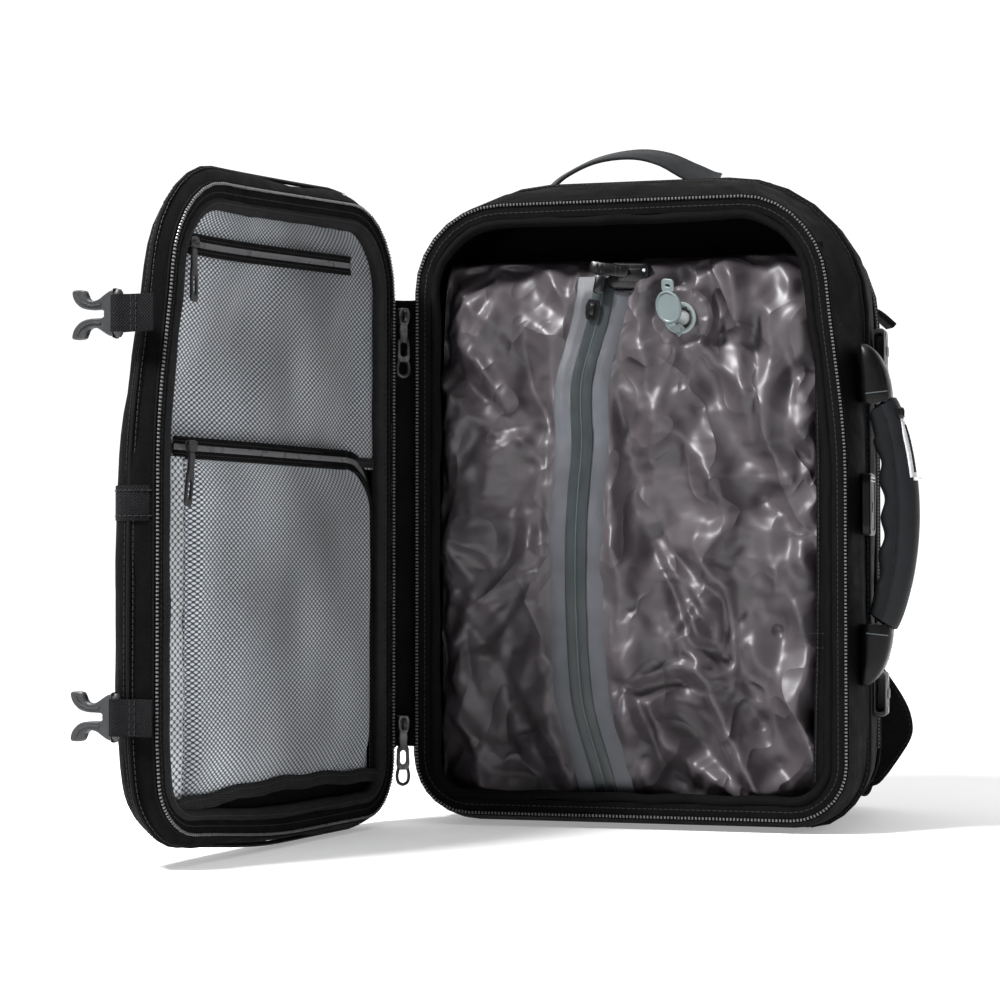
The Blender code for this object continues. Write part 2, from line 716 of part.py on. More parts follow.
def build_buckle_plugs(axis):
    """Webbing and plug of each side-release buckle, folded back beside the lid."""
    fold_x = RIM.half_width + 0.0050
    fold_y = LID_RIM - 0.0020
    half_body = 0.0170
    outline = [
        (-half_body, 0.0), (half_body, 0.0), (half_body, 0.0170), (0.0165, 0.0205),
        (0.0178, 0.0270), (0.0178, 0.0330), (0.0140, 0.0370), (0.0095, 0.0360),
        (0.0085, 0.0320), (0.0115, 0.0290), (0.0110, 0.0240), (0.0085, 0.0195),
        (0.0030, 0.0190), (0.0022, 0.0300), (-0.0022, 0.0300), (-0.0030, 0.0190),
        (-0.0085, 0.0195), (-0.0110, 0.0240), (-0.0115, 0.0290), (-0.0085, 0.0320),
        (-0.0095, 0.0360), (-0.0140, 0.0370), (-0.0178, 0.0330), (-0.0178, 0.0270),
        (-0.0165, 0.0205), (-half_body, 0.0170),
    ]
    slots = [rounded(0.0265, 0.0035, 0.001, (0, y)) for y in (0.0050, 0.0125)]
    for name, z in BUCKLE_HEIGHTS.items():
        fold = pivot(f"buckle_fold_{name}", as_closed(Matrix.Translation((fold_x, fold_y, z))), axis)
        points = [(0, -0.0005, 0), (0.0006, -0.0150, 0), (0.0010, -0.0295, 0)]
        ribbon(
            f"buckle_webbing_{name}", points, (WEBBING_WIDTH,) * 2, 0.0014, UP, BLACK_WEBBING, 4, fold,
        )
        place = facing((0.0010, -0.0302, 0), UP, FRONT)
        plate(f"buckle_plug_{name}", [outline, *slots], 0.0052, GREY_PLASTIC, place, fold)


def main():
    start()
    build_body_shell()
    build_rear_zip()
    build_main_zip_sliders()
    build_hinge_gusset()
    build_inside()
    build_back()
    build_shoulder_straps()
    build_top_handle()
    build_side_handle()
    build_side_plate()
    build_buckle_sockets()
    build_vacuum_bag()
    build_valve()
    opened = Matrix.Translation((HINGE_X, HINGE_Y, 0)) @ Matrix.Rotation(radians(-LID_OPEN), 4, "Z")
    axis = pivot("lid_axis", opened)
    build_lid(axis)
    build_pockets(axis)
    build_buckle_plugs(axis)


main()
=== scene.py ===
import json
from collections import namedtuple
from math import cos, pi, radians, sin

import bmesh
import bpy
import numpy as np
from mathutils import Matrix, Vector
from mathutils.geometry import delaunay_2d_cdt


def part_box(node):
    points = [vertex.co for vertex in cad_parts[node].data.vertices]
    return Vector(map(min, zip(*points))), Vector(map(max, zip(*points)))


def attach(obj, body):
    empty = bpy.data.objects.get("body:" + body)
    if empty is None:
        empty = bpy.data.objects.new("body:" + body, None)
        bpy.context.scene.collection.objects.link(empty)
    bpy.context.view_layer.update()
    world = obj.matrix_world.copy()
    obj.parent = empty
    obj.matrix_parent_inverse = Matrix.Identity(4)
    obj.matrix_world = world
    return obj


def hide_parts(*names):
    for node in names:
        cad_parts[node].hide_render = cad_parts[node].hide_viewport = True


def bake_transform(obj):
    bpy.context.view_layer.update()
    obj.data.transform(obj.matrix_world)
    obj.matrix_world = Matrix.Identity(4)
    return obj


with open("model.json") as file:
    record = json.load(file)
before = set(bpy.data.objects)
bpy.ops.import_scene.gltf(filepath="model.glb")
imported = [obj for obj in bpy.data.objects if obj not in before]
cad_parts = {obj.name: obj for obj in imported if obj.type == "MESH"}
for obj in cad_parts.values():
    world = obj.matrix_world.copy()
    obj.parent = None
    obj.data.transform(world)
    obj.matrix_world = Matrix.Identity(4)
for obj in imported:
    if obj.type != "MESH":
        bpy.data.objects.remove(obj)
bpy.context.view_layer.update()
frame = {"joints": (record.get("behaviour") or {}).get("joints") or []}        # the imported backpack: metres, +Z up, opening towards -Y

# ---------------------------------------------------------------- sizes
# Outlines are the shells seen from the front. They repeat the CAD part's driving dimensions.

Outline = namedtuple("Outline", "half_width low high low_radius high_radius")
RIM = Outline(0.1725, 0.007, 0.491, 0.045, 0.07)
BODY_WAIST = Outline(0.1805, 0.0, 0.508, 0.055, 0.108)
LID_WAIST = Outline(0.1755, 0.002, 0.5, 0.05, 0.08)
BODY_FRONT, BODY_BACK = -0.095, 0.095
BODY_FLARE, BODY_ROUND = 0.045, 0.04
LID_DEPTH, LID_FLARE, LID_ROUND = 0.042, 0.016, 0.024
TAPE = 0.004
TAPE_FRONT = -0.0993
LID_TAPE_BACK = -0.1005
LID_RIM = LID_TAPE_BACK - TAPE - 0.0003
LID_FACE = LID_RIM - LID_DEPTH
WEBBING = 0.025


def joint(name):
    """The frame's entry for a joint."""
    return next(entry for entry in frame["joints"] if entry["name"] == name)


# The lid's pieces are made where they lie with the lid shut, then turned open with it.
hinge = joint("lid_hinge")
HINGE = Vector(hinge["pos_m"])
HINGE.z = 0
OPENED = radians(-hinge["range_deg"][1])
LID_OPEN = Matrix.Translation(HINGE) @ Matrix.Rotation(OPENED, 4, "Z") @ Matrix.Translation(-HINGE)
ARC = 7  # steps round an outline's corner

# The camera stands at the photograph's viewing angle, a little above the middle of the backpack.
LENS_MM, SENSOR_MM = 88.2, 36.0
CAMERA_PLACE = (0.401, -1.962, 0.2066)
CAMERA_TILT, CAMERA_TURN = radians(90 + 1.45), 0.2635
FLOOR_HALF, FLOOR_DROP = 40, 0.0006


# ---------------------------------------------------------------- camera, floor and light


def make_camera():
    data = bpy.data.cameras.new("camera")
    data.lens = LENS_MM
    data.sensor_width = SENSOR_MM
    data.clip_end = 20
    camera = bpy.data.objects.new("camera", data)
    bpy.context.scene.collection.objects.link(camera)
    camera.location = CAMERA_PLACE
    camera.rotation_euler = (CAMERA_TILT, 0, CAMERA_TURN)
    bpy.context.scene.camera = camera


def area_light(name, place, aim, size, power):
    data = bpy.data.lights.new(name, "AREA")
    data.shape = "RECTANGLE"
    data.size, data.size_y = size
    data.energy = power
    light = bpy.data.objects.new(name, data)
    bpy.context.scene.collection.objects.link(light)
    light.location = place
    light.rotation_euler = (Vector(aim) - Vector(place)).to_track_quat("-Z", "Y").to_euler()


def make_studio():
    bpy.context.scene.view_settings.view_transform = "Standard"
    world = bpy.data.worlds.new("studio")
    bpy.context.scene.world = world
    world.use_nodes = True
    nodes, links = world.node_tree.nodes, world.node_tree.links
    background = nodes["Background"]
    background.inputs["Color"].default_value = (1, 1, 1, 1)
    # White beyond the backpack, dim on the opening's side.
    way = nodes.new("ShaderNodeTexCoord").outputs["Generated"]
    aim = nodes.new("ShaderNodeVectorMath")
    aim.operation = "DOT_PRODUCT"
    aim.inputs[1].default_value = (-0.25, 0.95, 0.0)
    links.new(way, aim.inputs[0])
    spread = nodes.new("ShaderNodeMapRange")
    for key, value in zip(("From Min", "From Max", "To Min", "To Max"), (-0.2, 0.75, 0.08, 1.1)):
        spread.inputs[key].default_value = value
    links.new(aim.outputs["Value"], spread.inputs["Value"])
    links.new(spread.outputs["Result"], background.inputs["Strength"])
    area_light("key_left", (-0.95, -1.15, 1.9), (0, 0, 0.25), (0.4, 0.4), 100)
    area_light("fill_right", (1.9, -1.3, 0.9), (0, 0, 0.25), (0.5, 1.4), 2)
    area_light("top_soft", (0.1, -0.2, 2.2), (0, -0.1, 0.2), (1.6, 1.2), 10)
    area_light("rim_right", (1.6, 0.7, 0.9), (0.1, 0, 0.3), (0.3, 1.4), 5)
    floor = bpy.data.meshes.new("floor")
    bm = bmesh.new()
    bmesh.ops.create_grid(bm, x_segments=8, y_segments=8, size=FLOOR_HALF)
    bm.to_mesh(floor)
    bm.free()
    item = bpy.data.objects.new("floor", floor)
    bpy.context.scene.collection.objects.link(item)
    paper = Finish("studio_paper", (0.86, 0.86, 0.86), 0.9, space="Object")
    paper.mottle(3.0, 0.02)
    # The floor glows, dim near the backpack and full white farther off: painted light that whitens the
    # floor and lightens the shadows on it.
    paper.shader.inputs["Emission Color"].default_value = (1, 1, 1, 1)
    reach = paper.node("VectorMath", paper.place, operation="LENGTH").node.outputs["Value"]
    paper.settle(paper.shader.inputs["Emission Strength"], paper.node("MapRange", reach, 1.0, 3.0,
                                                                      0.3, 1.0))
    floor.materials.append(paper.material)
    item.location.z = -FLOOR_DROP


# ---------------------------------------------------------------- materials


class Finish:
    """A material made of nodes, built up one pattern at a time on a Principled shader."""

    def __init__(self, name, colour, roughness, metallic=0.0, sheen=0.0, coat=0.0, specular=0.5,
                 space="UV"):
        self.material = bpy.data.materials.new(name)
        self.material.use_nodes = True
        self.tree = self.material.node_tree
        self.shader = self.tree.nodes["Principled BSDF"]
        self.shader.inputs["Metallic"].default_value = metallic
        self.shader.inputs["Specular IOR Level"].default_value = specular
        self.shader.inputs["Sheen Weight"].default_value = sheen
        self.shader.inputs["Sheen Roughness"].default_value = 0.4
        self.shader.inputs["Coat Weight"].default_value = coat
        self.shader.inputs["Coat Roughness"].default_value = 0.12
        self.colour = colour
        self.roughness = roughness
        self.normal = None
        self.place = self.node("TexCoord").node.outputs[space]
        self.connect()

    def node(self, kind, *values, **settings):
        """A new node's first output. Settings with a capital are sockets, the others properties."""
        made = self.tree.nodes.new("ShaderNode" + kind)
        sockets = {k.replace("_", " "): v for k, v in settings.items() if k[0].isupper()}
        for key, value in settings.items():
            if not key[0].isupper():
                setattr(made, key, value)
        for key, value in [*enumerate(values), *sockets.items()]:
            if isinstance(value, bpy.types.NodeSocket):
                self.tree.links.new(value, made.inputs[key])
            elif value is not None:
                made.inputs[key].default_value = value
        return made.outputs[0]

    def settle(self, socket, value):
        """Link a pattern to a socket, or write an even value on the socket itself."""
        if isinstance(value, bpy.types.NodeSocket):
            self.tree.links.new(value, socket)
        else:
            socket.default_value = (*value, 1) if isinstance(value, tuple) else value

    def connect(self):
        self.settle(self.shader.inputs["Base Color"], self.colour)
        self.settle(self.shader.inputs["Roughness"], self.roughness)
        if self.normal:
            self.tree.links.new(self.normal, self.shader.inputs["Normal"])
        return self

    def noise(self, scale, detail=3.0, stretch=(1, 1, 1)):
        place = self.node("VectorMath", self.place, stretch, operation="MULTIPLY")
        return self.node("TexNoise", Vector=place, Scale=scale, Detail=detail, Roughness=0.6)

    def weave(self, pitch, slant=0.0):
        """Crossing threads: high where one passes over another."""
        turned = self.node("VectorRotate", Vector=self.place, Angle=slant)
        scaled = self.node("VectorMath", turned, (2 * pi / pitch,) * 3, operation="MULTIPLY")
        waves = self.node("VectorMath", scaled, operation="SINE")
        parts = self.node("SeparateXYZ", waves).node.outputs
        return self.node("Math", parts[0], parts[1], operation="MULTIPLY")

    def cells(self, pitch_x, pitch_y, radius, soft=0.08):
        """Staggered rows of holes: 1 inside a hole, 0 on the threads."""
        near = []
        for shift in (0.0, 0.5):
            scaled = self.node("VectorMath", self.place, (1 / pitch_x, 1 / pitch_y, 0),
                               operation="MULTIPLY")
            moved = self.node("VectorMath", scaled, (shift, shift, 0), operation="ADD")
            local = self.node("VectorMath", moved, operation="FRACTION")
            centred = self.node("VectorMath", local, (-0.5, -0.5, 0), operation="ADD")
            squared = self.node("VectorMath", centred, (1.0, 1.1, 0), operation="MULTIPLY")
            near.append(self.node("VectorMath", squared, operation="LENGTH").node.outputs["Value"])
        nearest = self.node("Math", *near, operation="MINIMUM")
        return self.node("MapRange", nearest, radius - soft, radius + soft, 1.0, 0.0)

    def tint(self, factor, colour, low=0.0, high=1.0):
        """Mix a colour in where factor runs from low to high."""
        share = self.node("MapRange", factor, low, high, 0.0, 1.0)
        mixed = self.node("Mix", data_type="RGBA", blend_type="MIX")
        inputs = mixed.node.inputs
        self.tree.links.new(share, inputs[0])
        self.settle(inputs[6], self.colour)
        inputs[7].default_value = (*colour, 1)
        self.colour = mixed.node.outputs[2]
        return self.connect()

    def shade(self, factor, low, high, start=0.0, end=1.0):
        """Multiply the colour by low to high as factor runs from start to end."""
        share = self.node("MapRange", factor, start, end, low, high)
        self.colour = self.node("VectorMath", self.colour, share, operation="MULTIPLY")
        return self.connect()

    def polish(self, factor, low, high, start=0.0, end=1.0):
        """Roughness from low to high as factor runs from start to end."""
        self.roughness = self.node("MapRange", factor, start, end, low, high)
        return self.connect()

    def bump(self, height, distance, strength=1.0):
        made = self.node("Bump", Strength=strength, Distance=distance, Height=height)
        if self.normal:
            self.tree.links.new(self.normal, made.node.inputs["Normal"])
        self.normal = made
        return self.connect()

    def mottle(self, scale, amount, detail=3.0, stretch=(1, 1, 1)):
        """Cloudy light and dark."""
        return self.shade(self.noise(scale, detail, stretch), 1 - amount, 1 + amount, 0.3, 0.7)

    def folds(self, scale, depth, stretch, turn):
        """Long creases with a sharp crest, leaning to one side."""
        turned = self.node("VectorRotate", Vector=self.place, Axis=(0, 1, 0), Angle=turn)
        place = self.node("VectorMath", turned, stretch, operation="MULTIPLY")
        cloud = self.node("TexNoise", Vector=place, Scale=scale, Detail=1.0, Roughness=0.5,
                          Distortion=0.6)
        centred = self.node("Math", cloud, -0.5, operation="ADD")
        return self.bump(self.node("Math", centred, operation="ABSOLUTE"), -depth * 2)

    def wear(self, colour, amount=0.5):
        """Rubbed convex edges."""
        edge = self.node("NewGeometry").node.outputs["Pointiness"]
        scratch = self.noise(140, 4)
        factor = self.node("Math", edge, self.node("MapRange", scratch, 0.35, 0.65, -0.02, 0.03),
                           operation="ADD")
        return self.tint(factor, colour, 0.53, 0.53 + 0.12 / amount)


def woven(name, colour, roughness, pitch=0.0011, depth=0.00012, mottle=0.18, slant=0.0,
          specular=0.05):
    """Woven cloth: threads, cloudy dye and soft creases."""
    finish = Finish(name, colour, roughness, specular=specular)
    threads = finish.weave(pitch, slant)
    finish.shade(threads, 0.72, 1.2, -1, 1)
    finish.mottle(18, mottle)
    finish.mottle(160, mottle * 0.7, 4)
    finish.polish(finish.noise(60, 4), roughness - 0.1, roughness + 0.1, 0.3, 0.7)
    finish.bump(finish.noise(28, 4), 0.0016, 0.35)
    finish.bump(threads, depth)
    return finish


def moulded(name, colour, roughness, grain=0.00004, coat=0.0, metallic=0.0, worn=None,
            specular=0.5):
    """Moulded plastic, rubber or cast metal with a fine texture and rubbed edges."""
    finish = Finish(name, colour, roughness, metallic=metallic, coat=coat, specular=specular,
                    space="Object")
    finish.mottle(35, 0.1)
    finish.polish(finish.noise(90, 5), roughness - 0.08, roughness + 0.08, 0.3, 0.7)
    finish.bump(finish.noise(2600, 2), grain)
    if worn:
        finish.wear(worn)
    return finish


def net(name, thread, backing, pitch, hole=0.36):
    """Knitted mesh: pale backing shows through staggered holes between dark threads."""
    finish = Finish(name, thread, 0.72, sheen=0.2)
    holes = finish.cells(pitch, pitch * 0.66, hole)
    finish.tint(holes, backing)
    # Broad stretched patches of light and dark: painted shade and light of the mesh's folds and of its
    # layers shading each other.
    finish.mottle(5, 0.75, 2, (1, 0.6, 1))
    finish.polish(holes, 0.75, 0.5)
    finish.bump(holes, -0.0005)
    return finish


def make_materials():
    """Every material by a short name."""
    made = {
        "shell": woven("nylon_shell", (0.0019, 0.0018, 0.0017), 0.62, 0.0013, 0.00016),
        # The lid's nylon is a darker copy of the shell's nylon: painted shade for the dim light on the
        # lid's side.
        "lid_shell": woven("lid_nylon_painted_shade", (0.0014, 0.0014, 0.0015), 0.66, 0.0013, 0.00018),
        "lining": woven("lining_nylon", (0.003, 0.003, 0.0033), 0.6, 0.0008, 0.00006),
        "gusset": woven("gusset_nylon", (0.004, 0.004, 0.0043), 0.7, 0.001, 0.0001),
        "binding": woven("binding_tape", (0.02, 0.02, 0.021), 0.72, 0.0016, 0.00018, slant=0.6),
        "webbing": woven("webbing", (0.0085, 0.0085, 0.0095), 0.66, 0.0022, 0.00035),
        "tape": woven("zip_tape", (0.003, 0.003, 0.0033), 0.62, 0.0009, 0.0001),
        "piping": woven("piping_cloth", (0.0055, 0.0055, 0.006), 0.55, 0.001, 0.0001),
        "thread": moulded("stitching", (0.022, 0.022, 0.023), 0.55, 0.00002, specular=0.2),
        # The teeth are much lighter than their black tape: painted highlight for the glints along the
        # zips.
        "teeth": moulded("zip_teeth_painted_highlight", (0.13, 0.13, 0.135), 0.3, 0.00001),
        "metal": moulded("zip_metal", (0.03, 0.03, 0.032), 0.33, 0.00002, metallic=0.85,
                         worn=(0.32, 0.32, 0.33)),
        "pull": moulded("zip_puller", (0.012, 0.012, 0.013), 0.42, 0.00003, worn=(0.05, 0.05,
                                                                                  0.055)),
        "cowl": moulded("cowl_black", (0.0024, 0.0024, 0.0028), 0.36, 0.00002, specular=0.2),
        "gloss": moulded("gloss_black", (0.004, 0.004, 0.0045), 0.3, 0.00001, coat=0.15,
                         specular=0.3),
        "plastic": moulded("grey_plastic", (0.017, 0.018, 0.02), 0.48, 0.00005, worn=(0.035, 0.036,
                                                                                      0.038)),
        "rubber": moulded("grey_rubber", (0.007, 0.0082, 0.01), 0.5, 0.00006, worn=(0.014, 0.016,
            0.019), specular=0.2),
        "grip_dark": moulded("grip_inner", (0.004, 0.0047, 0.0056), 0.5, 0.00005, specular=0.15),
        "chrome": moulded("chrome", (0.86, 0.86, 0.88), 0.24, 0.000005, metallic=0.45),
        "brown": moulded("plate_insert", (0.0085, 0.0055, 0.003), 0.42, 0.00002, specular=0.2),
        "valve": moulded("valve_grey", (0.3, 0.35, 0.35), 0.42, 0.00002, coat=0.15),
        "valve_cap": moulded("valve_cap_grey", (0.15, 0.185, 0.19), 0.42, 0.00002, coat=0.15),
        "valve_dark": moulded("valve_dark", (0.055, 0.065, 0.07), 0.35, 0.00002),
        "white": moulded("valve_white", (0.62, 0.66, 0.67), 0.45, 0.00002),
        "bag_zip": moulded("bag_zip", (0.016, 0.022, 0.024), 0.42, 0.00004, coat=0.1),
        "net": net("pocket_mesh", (0.026, 0.029, 0.034), (0.5, 0.53, 0.57), 0.0056, 0.28),
        "coarse_net": net("gusset_mesh", (0.04, 0.044, 0.05), (0.62, 0.65, 0.68), 0.0076, 0.32),
        "air_mesh": net("back_mesh", (0.014, 0.014, 0.015), (0.003, 0.003, 0.0035), 0.005, 0.28),
    }
    welded = Finish("bag_welded", (0.066, 0.07, 0.081), 0.34, sheen=0.1)
    # Blotchy lighter and darker patches along the welded strips: painted light and shade.
    welded.mottle(14, 0.35)
    welded.bump(welded.weave(0.0016), 0.00008)
    made["welded"] = welded
    bag = Finish("bag_nylon", (0.06, 0.052, 0.058), 0.5, specular=0.5, space="Object")
    bag.mottle(14, 0.14)
    bag.polish(bag.noise(40, 3), 0.4, 0.52, 0.3, 0.7)
    bag.folds(9, 0.022, (1.0, 1.0, 0.6), 0.45)
    bag.folds(22, 0.008, (1.0, 1.0, 0.7), -0.5)
    made["bag"] = bag
    return {name: finish.material for name, finish in made.items()}


# ---------------------------------------------------------------- geometry


def outline(shape, inset=0.0):
    """Points (x, z) round a shell, anticlockwise from its right-hand foot, with its sides divided."""
    right = shape.half_width - inset
    low, high = shape.low + inset, shape.high - inset
    foot, top = shape.low_radius - inset, shape.high_radius - inset
    corners = ((right - foot, low + foot, foot), (right - top, high - top, top),
               (top - right, high - top, top), (foot - right, low + foot, foot))
    runs = (26, 16, 26, 16)
    points = []
    for quarter, (x, z, radius) in enumerate(corners):
        for notch in range(ARC + 1):
            angle = radians(90 * (quarter - 1 + notch / ARC))
            points.append((x + radius * cos(angle), z + radius * sin(angle)))
        ahead, ahead_z, ahead_radius = corners[(quarter + 1) % 4]
        turn = radians(90 * quarter)
        start = np.array(points[-1])
        end = np.array((ahead + ahead_radius * cos(turn), ahead_z + ahead_radius * sin(turn)))
        points += [tuple(start + (end - start) * k / runs[quarter])
                   for k in range(1, runs[quarter])]
    return np.array(points)


def mix(first, second, share):
    return Outline(*(a + (b - a) * share for a, b in zip(first, second)))


def step(value, start, end):
    """0 before start, 1 after end, smooth between."""
    share = np.clip((np.asarray(value, float) - start) / (end - start), 0, 1)
    return share * share * (3 - 2 * share)


def ring(shape, y, inset=0.0):
    """An outline as points in space at a depth."""
    flat = outline(shape, inset)
    return np.column_stack((flat[:, 0], np.full(len(flat), y), flat[:, 1]))


def lean(points, lid=False):
    """The soft top corner away from the hinge leans in; the lid's leans more and curls inwards."""
    points = np.array(points, float)
    x, y, z = points[..., 0], points[..., 1], points[..., 2]
    high = step(z, 0.27, 0.46)
    far = step(x, -0.02, 0.16)
    if lid:
        slope = step(z, 0.3, 0.49) * step(x, -0.3, 0.16)
        foot = (1 - step(z, 0.0, 0.1)) * step(x, -0.02, 0.17)
        points[..., 0] = x - 0.02 * high * far - 0.006 * foot
        points[..., 2] = z - 0.018 * slope + 0.013 * foot
    else:
        points[..., 0] = x - 0.016 * high * far * (1 - step(y, -0.098, -0.04))
    return points


def ripple(points, size, amount, seed=0, octaves=2):
    """Smooth noise at each point: sums of waves in fixed random directions."""
    source = np.random.default_rng(seed)
    points = np.asarray(points, float)
    total = np.zeros(points.shape[:-1])
    for octave in range(octaves):
        for _ in range(7):
            way = source.normal(size=3)
            way *= 2 * pi * 2**octave / size / np.linalg.norm(way)
            total += np.sin(points @ way + source.uniform(0, 2 * pi)) / 2**octave
    return amount * total / 4


def smooth_path(points, count, closed=False):
    """Points at even steps on a smooth curve through the given ones."""
    points = np.array(points, float)
    size = len(points)
    ends = size if closed else size - 1
    fine = []
    for index in range(ends):
        a, b, c, d = (points[(index + k) % size] if closed else points[min(max(index + k, 0), size
                                                                           - 1)]
                      for k in (-1, 0, 1, 2))
        t = np.linspace(0, 1, 24, endpoint=False)[:, None]
        fine.append(0.5 * (2 * b + (c - a) * t + (2 * a - 5 * b + 4 * c - d) * t**2
                           + (3 * b - a - 3 * c + d) * t**3))
    fine.append(points[:1] if closed else points[-1:])
    return even(np.concatenate(fine), count)


def even(path, count):
    """The path resampled at even steps."""
    path = np.asarray(path, float)
    along = np.concatenate(([0], np.cumsum(np.linalg.norm(np.diff(path, axis=0), axis=1))))
    wanted = np.linspace(0, along[-1], count)
    return np.column_stack([np.interp(wanted, along, path[:, axis]) for axis in range(3)])


def unit(vectors):
    return vectors / np.maximum(np.linalg.norm(vectors, axis=-1, keepdims=True), 1e-12)


def frames(path, up, closed=False):
    """Each point's way along, sideways and outwards, with outwards as near up as can be."""
    path = np.asarray(path, float)
    if closed:
        along = np.roll(path, -1, 0) - np.roll(path, 1, 0)
    else:
        along = np.gradient(path, axis=0)
    along = unit(along)
    up = np.broadcast_to(np.asarray(up, float), path.shape)
    side = unit(np.cross(along, up))
    return along, side, np.cross(side, along)


class Pile:
    """Faces gathered from several shapes into one mesh, with UVs in metres."""

    def __init__(self):
        self.points, self.faces, self.uvs, self.slots = [], [], [], []
        self.count = 0

    def put(self, points, faces, uvs, slot):
        self.points.append(np.asarray(points, float).reshape(-1, 3))
        self.faces += [tuple(i + self.count for i in face) for face in faces]
        self.uvs += uvs
        self.slots += [slot] * len(faces)
        self.count += len(self.points[-1])
        return self

    def grid(self, rows, closed=False, caps=False, slot=0):
        """A skin over rows of points. A closed one joins each row's end to its start."""
        rows = np.asarray(rows, float)
        deep, wide = rows.shape[:2]
        wrapped = np.concatenate((rows, rows[:, :1]), 1) if closed else rows
        across = np.concatenate(([0], np.cumsum(np.linalg.norm(np.diff(wrapped, axis=1),
                                                               axis=2).mean(0))))
        down = np.concatenate(([0], np.cumsum(np.linalg.norm(np.diff(rows, axis=0),
                                                             axis=2).mean(1))))
        faces, uvs = [], []
        for v in range(deep - 1):
            for u in range(wide if closed else wide - 1):
                ahead = (u + 1) % wide
                faces.append((v * wide + u, v * wide + ahead, (v + 1) * wide + ahead, (v + 1) * wide
                              + u))
                uvs.append(((across[u], down[v]), (across[u + 1], down[v]),
                            (across[u + 1], down[v + 1]), (across[u], down[v + 1])))
        if caps:
            for v, order in ((0, range(wide - 1, -1, -1)), (deep - 1, range(wide))):
                faces.append(tuple(v * wide + u for u in order))
                uvs.append(tuple((across[u], down[v]) for u in order))
        return self.put(rows, faces, uvs, slot)

    def sweep(self, path, section, up, closed=False, slot=0, scale=None):
        """A section, points (sideways, outwards), carried along a path."""
        path = np.asarray(path, float)
        _, side, out = frames(path, up, closed)
        scale = np.ones(len(path)) if scale is None else np.asarray(scale, float)
        section = np.asarray(section, float)
        rows = (path[:, None] + side[:, None] * (section[:, 0] * scale[:, None])[..., None]
                + out[:, None] * (section[:, 1] * scale[:, None])[..., None])
        if closed:
            rows = np.concatenate((rows, rows[:1]))
        return self.grid(rows, closed=True, caps=not closed, slot=slot)

    def rod(self, path, radius, up=(0, 0, 1), closed=False, slot=0, sides=8, scale=None):
        return self.sweep(path, disc(radius, sides), up, closed, slot, scale)

    def band(self, path, width, thick, up, closed=False, slot=0):
        """A flat strap with round edges."""
        return self.sweep(path, pillow(width, thick), up, closed, slot)

    def blocks(self, path, up, pitch, size, slot=0, lift=0.0, shift=0.0, closed=False, stagger=0.0):
        """Small chamfered blocks, sized (along, sideways, outwards), at even steps along a path."""
        path = np.asarray(path, float)
        whole = np.concatenate((path, path[:1])) if closed else path
        length = np.linalg.norm(np.diff(whole, axis=0), axis=1).sum()
        count = max(2, int(length / pitch))
        spots = even(whole, count + 1)
        if closed:
            spots = spots[:-1]
        along, side, out = frames(spots, up if np.ndim(up) == 1 else nearest_rows(up, path, spots),
                                  closed)
        shape, faces = chamfered_block()
        for index in range(len(spots)):
            across = shift + stagger * (1 if index % 2 else -1)
            centre = spots[index] + side[index] * across + out[index] * lift
            axes = np.stack((along[index], side[index], out[index]))
            points = centre + (shape * np.array(size)) @ axes
            uvs = [tuple((points[i][0], points[i][2]) for i in face) for face in faces]
            self.put(points, faces, uvs, slot)
        return self

    def stitches(self, path, up, pitch=0.0042, size=(0.003, 0.0006, 0.0005), slot=0, **places):
        return self.blocks(path, up, pitch, size, slot, **places)

    def build(self, name, body, materials, nodes=(), slot=None, lid=False, hold=False, edge=40):
        """The gathered mesh as a piece that rides a body and stands for CAD nodes."""
        mesh = bpy.data.meshes.new(name)
        mesh.from_pydata(np.concatenate(self.points), [], self.faces)
        layer = mesh.uv_layers.new(name="UVMap")
        layer.data.foreach_set("uv", np.array([c for face in self.uvs for c in face],
                                              float).ravel())
        for material in materials:
            mesh.materials.append(material)
        mesh.polygons.foreach_set("material_index", self.slots)
        bm = bmesh.new()
        bm.from_mesh(mesh)
        bmesh.ops.remove_doubles(bm, verts=bm.verts, dist=1e-7)
        bmesh.ops.recalc_face_normals(bm, faces=bm.faces)
        bm.to_mesh(mesh)
        bm.free()
        mesh.shade_smooth()
        mesh.set_sharp_from_angle(angle=radians(edge))
        item = bpy.data.objects.new(name, mesh)
        bpy.context.scene.collection.objects.link(item)
        if lid:
            item.matrix_world = LID_OPEN
        if not hold:
            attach(item, body)
        if nodes:
            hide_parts(*nodes)
        return item


def nearest_rows(values, path, spots):
    """The values at the path's points nearest to each spot."""
    index = [int(np.argmin(((path - spot) ** 2).sum(1))) for spot in spots]
    return np.asarray(values)[index]


def disc(radius, sides=8):
    return [(radius * cos(2 * pi * k / sides), radius * sin(2 * pi * k / sides))
            for k in range(sides)]


def pillow(width, thick):
    """A flat section with round edges."""
    half, round_edge = width / 2 - thick / 2, thick / 2
    right = [(half + round_edge * cos(a), round_edge * sin(a))
             for a in np.linspace(-pi / 2, pi / 2, 5)]
    return right + [(-x, -y) for x, y in right]


def rounded_box(width, height, radius, steps=4):
    """A rectangle with round corners, as a section."""
    points = []
    for quarter, (side, level) in enumerate(((1, -1), (1, 1), (-1, 1), (-1, -1))):
        x, y = side * (width / 2 - radius), level * (height / 2 - radius)
        points += [(x + radius * cos(radians(90 * (quarter - 1 + k / steps))),
                    y + radius * sin(radians(90 * (quarter - 1 + k / steps))))
                    for k in range(steps + 1)]
    return points


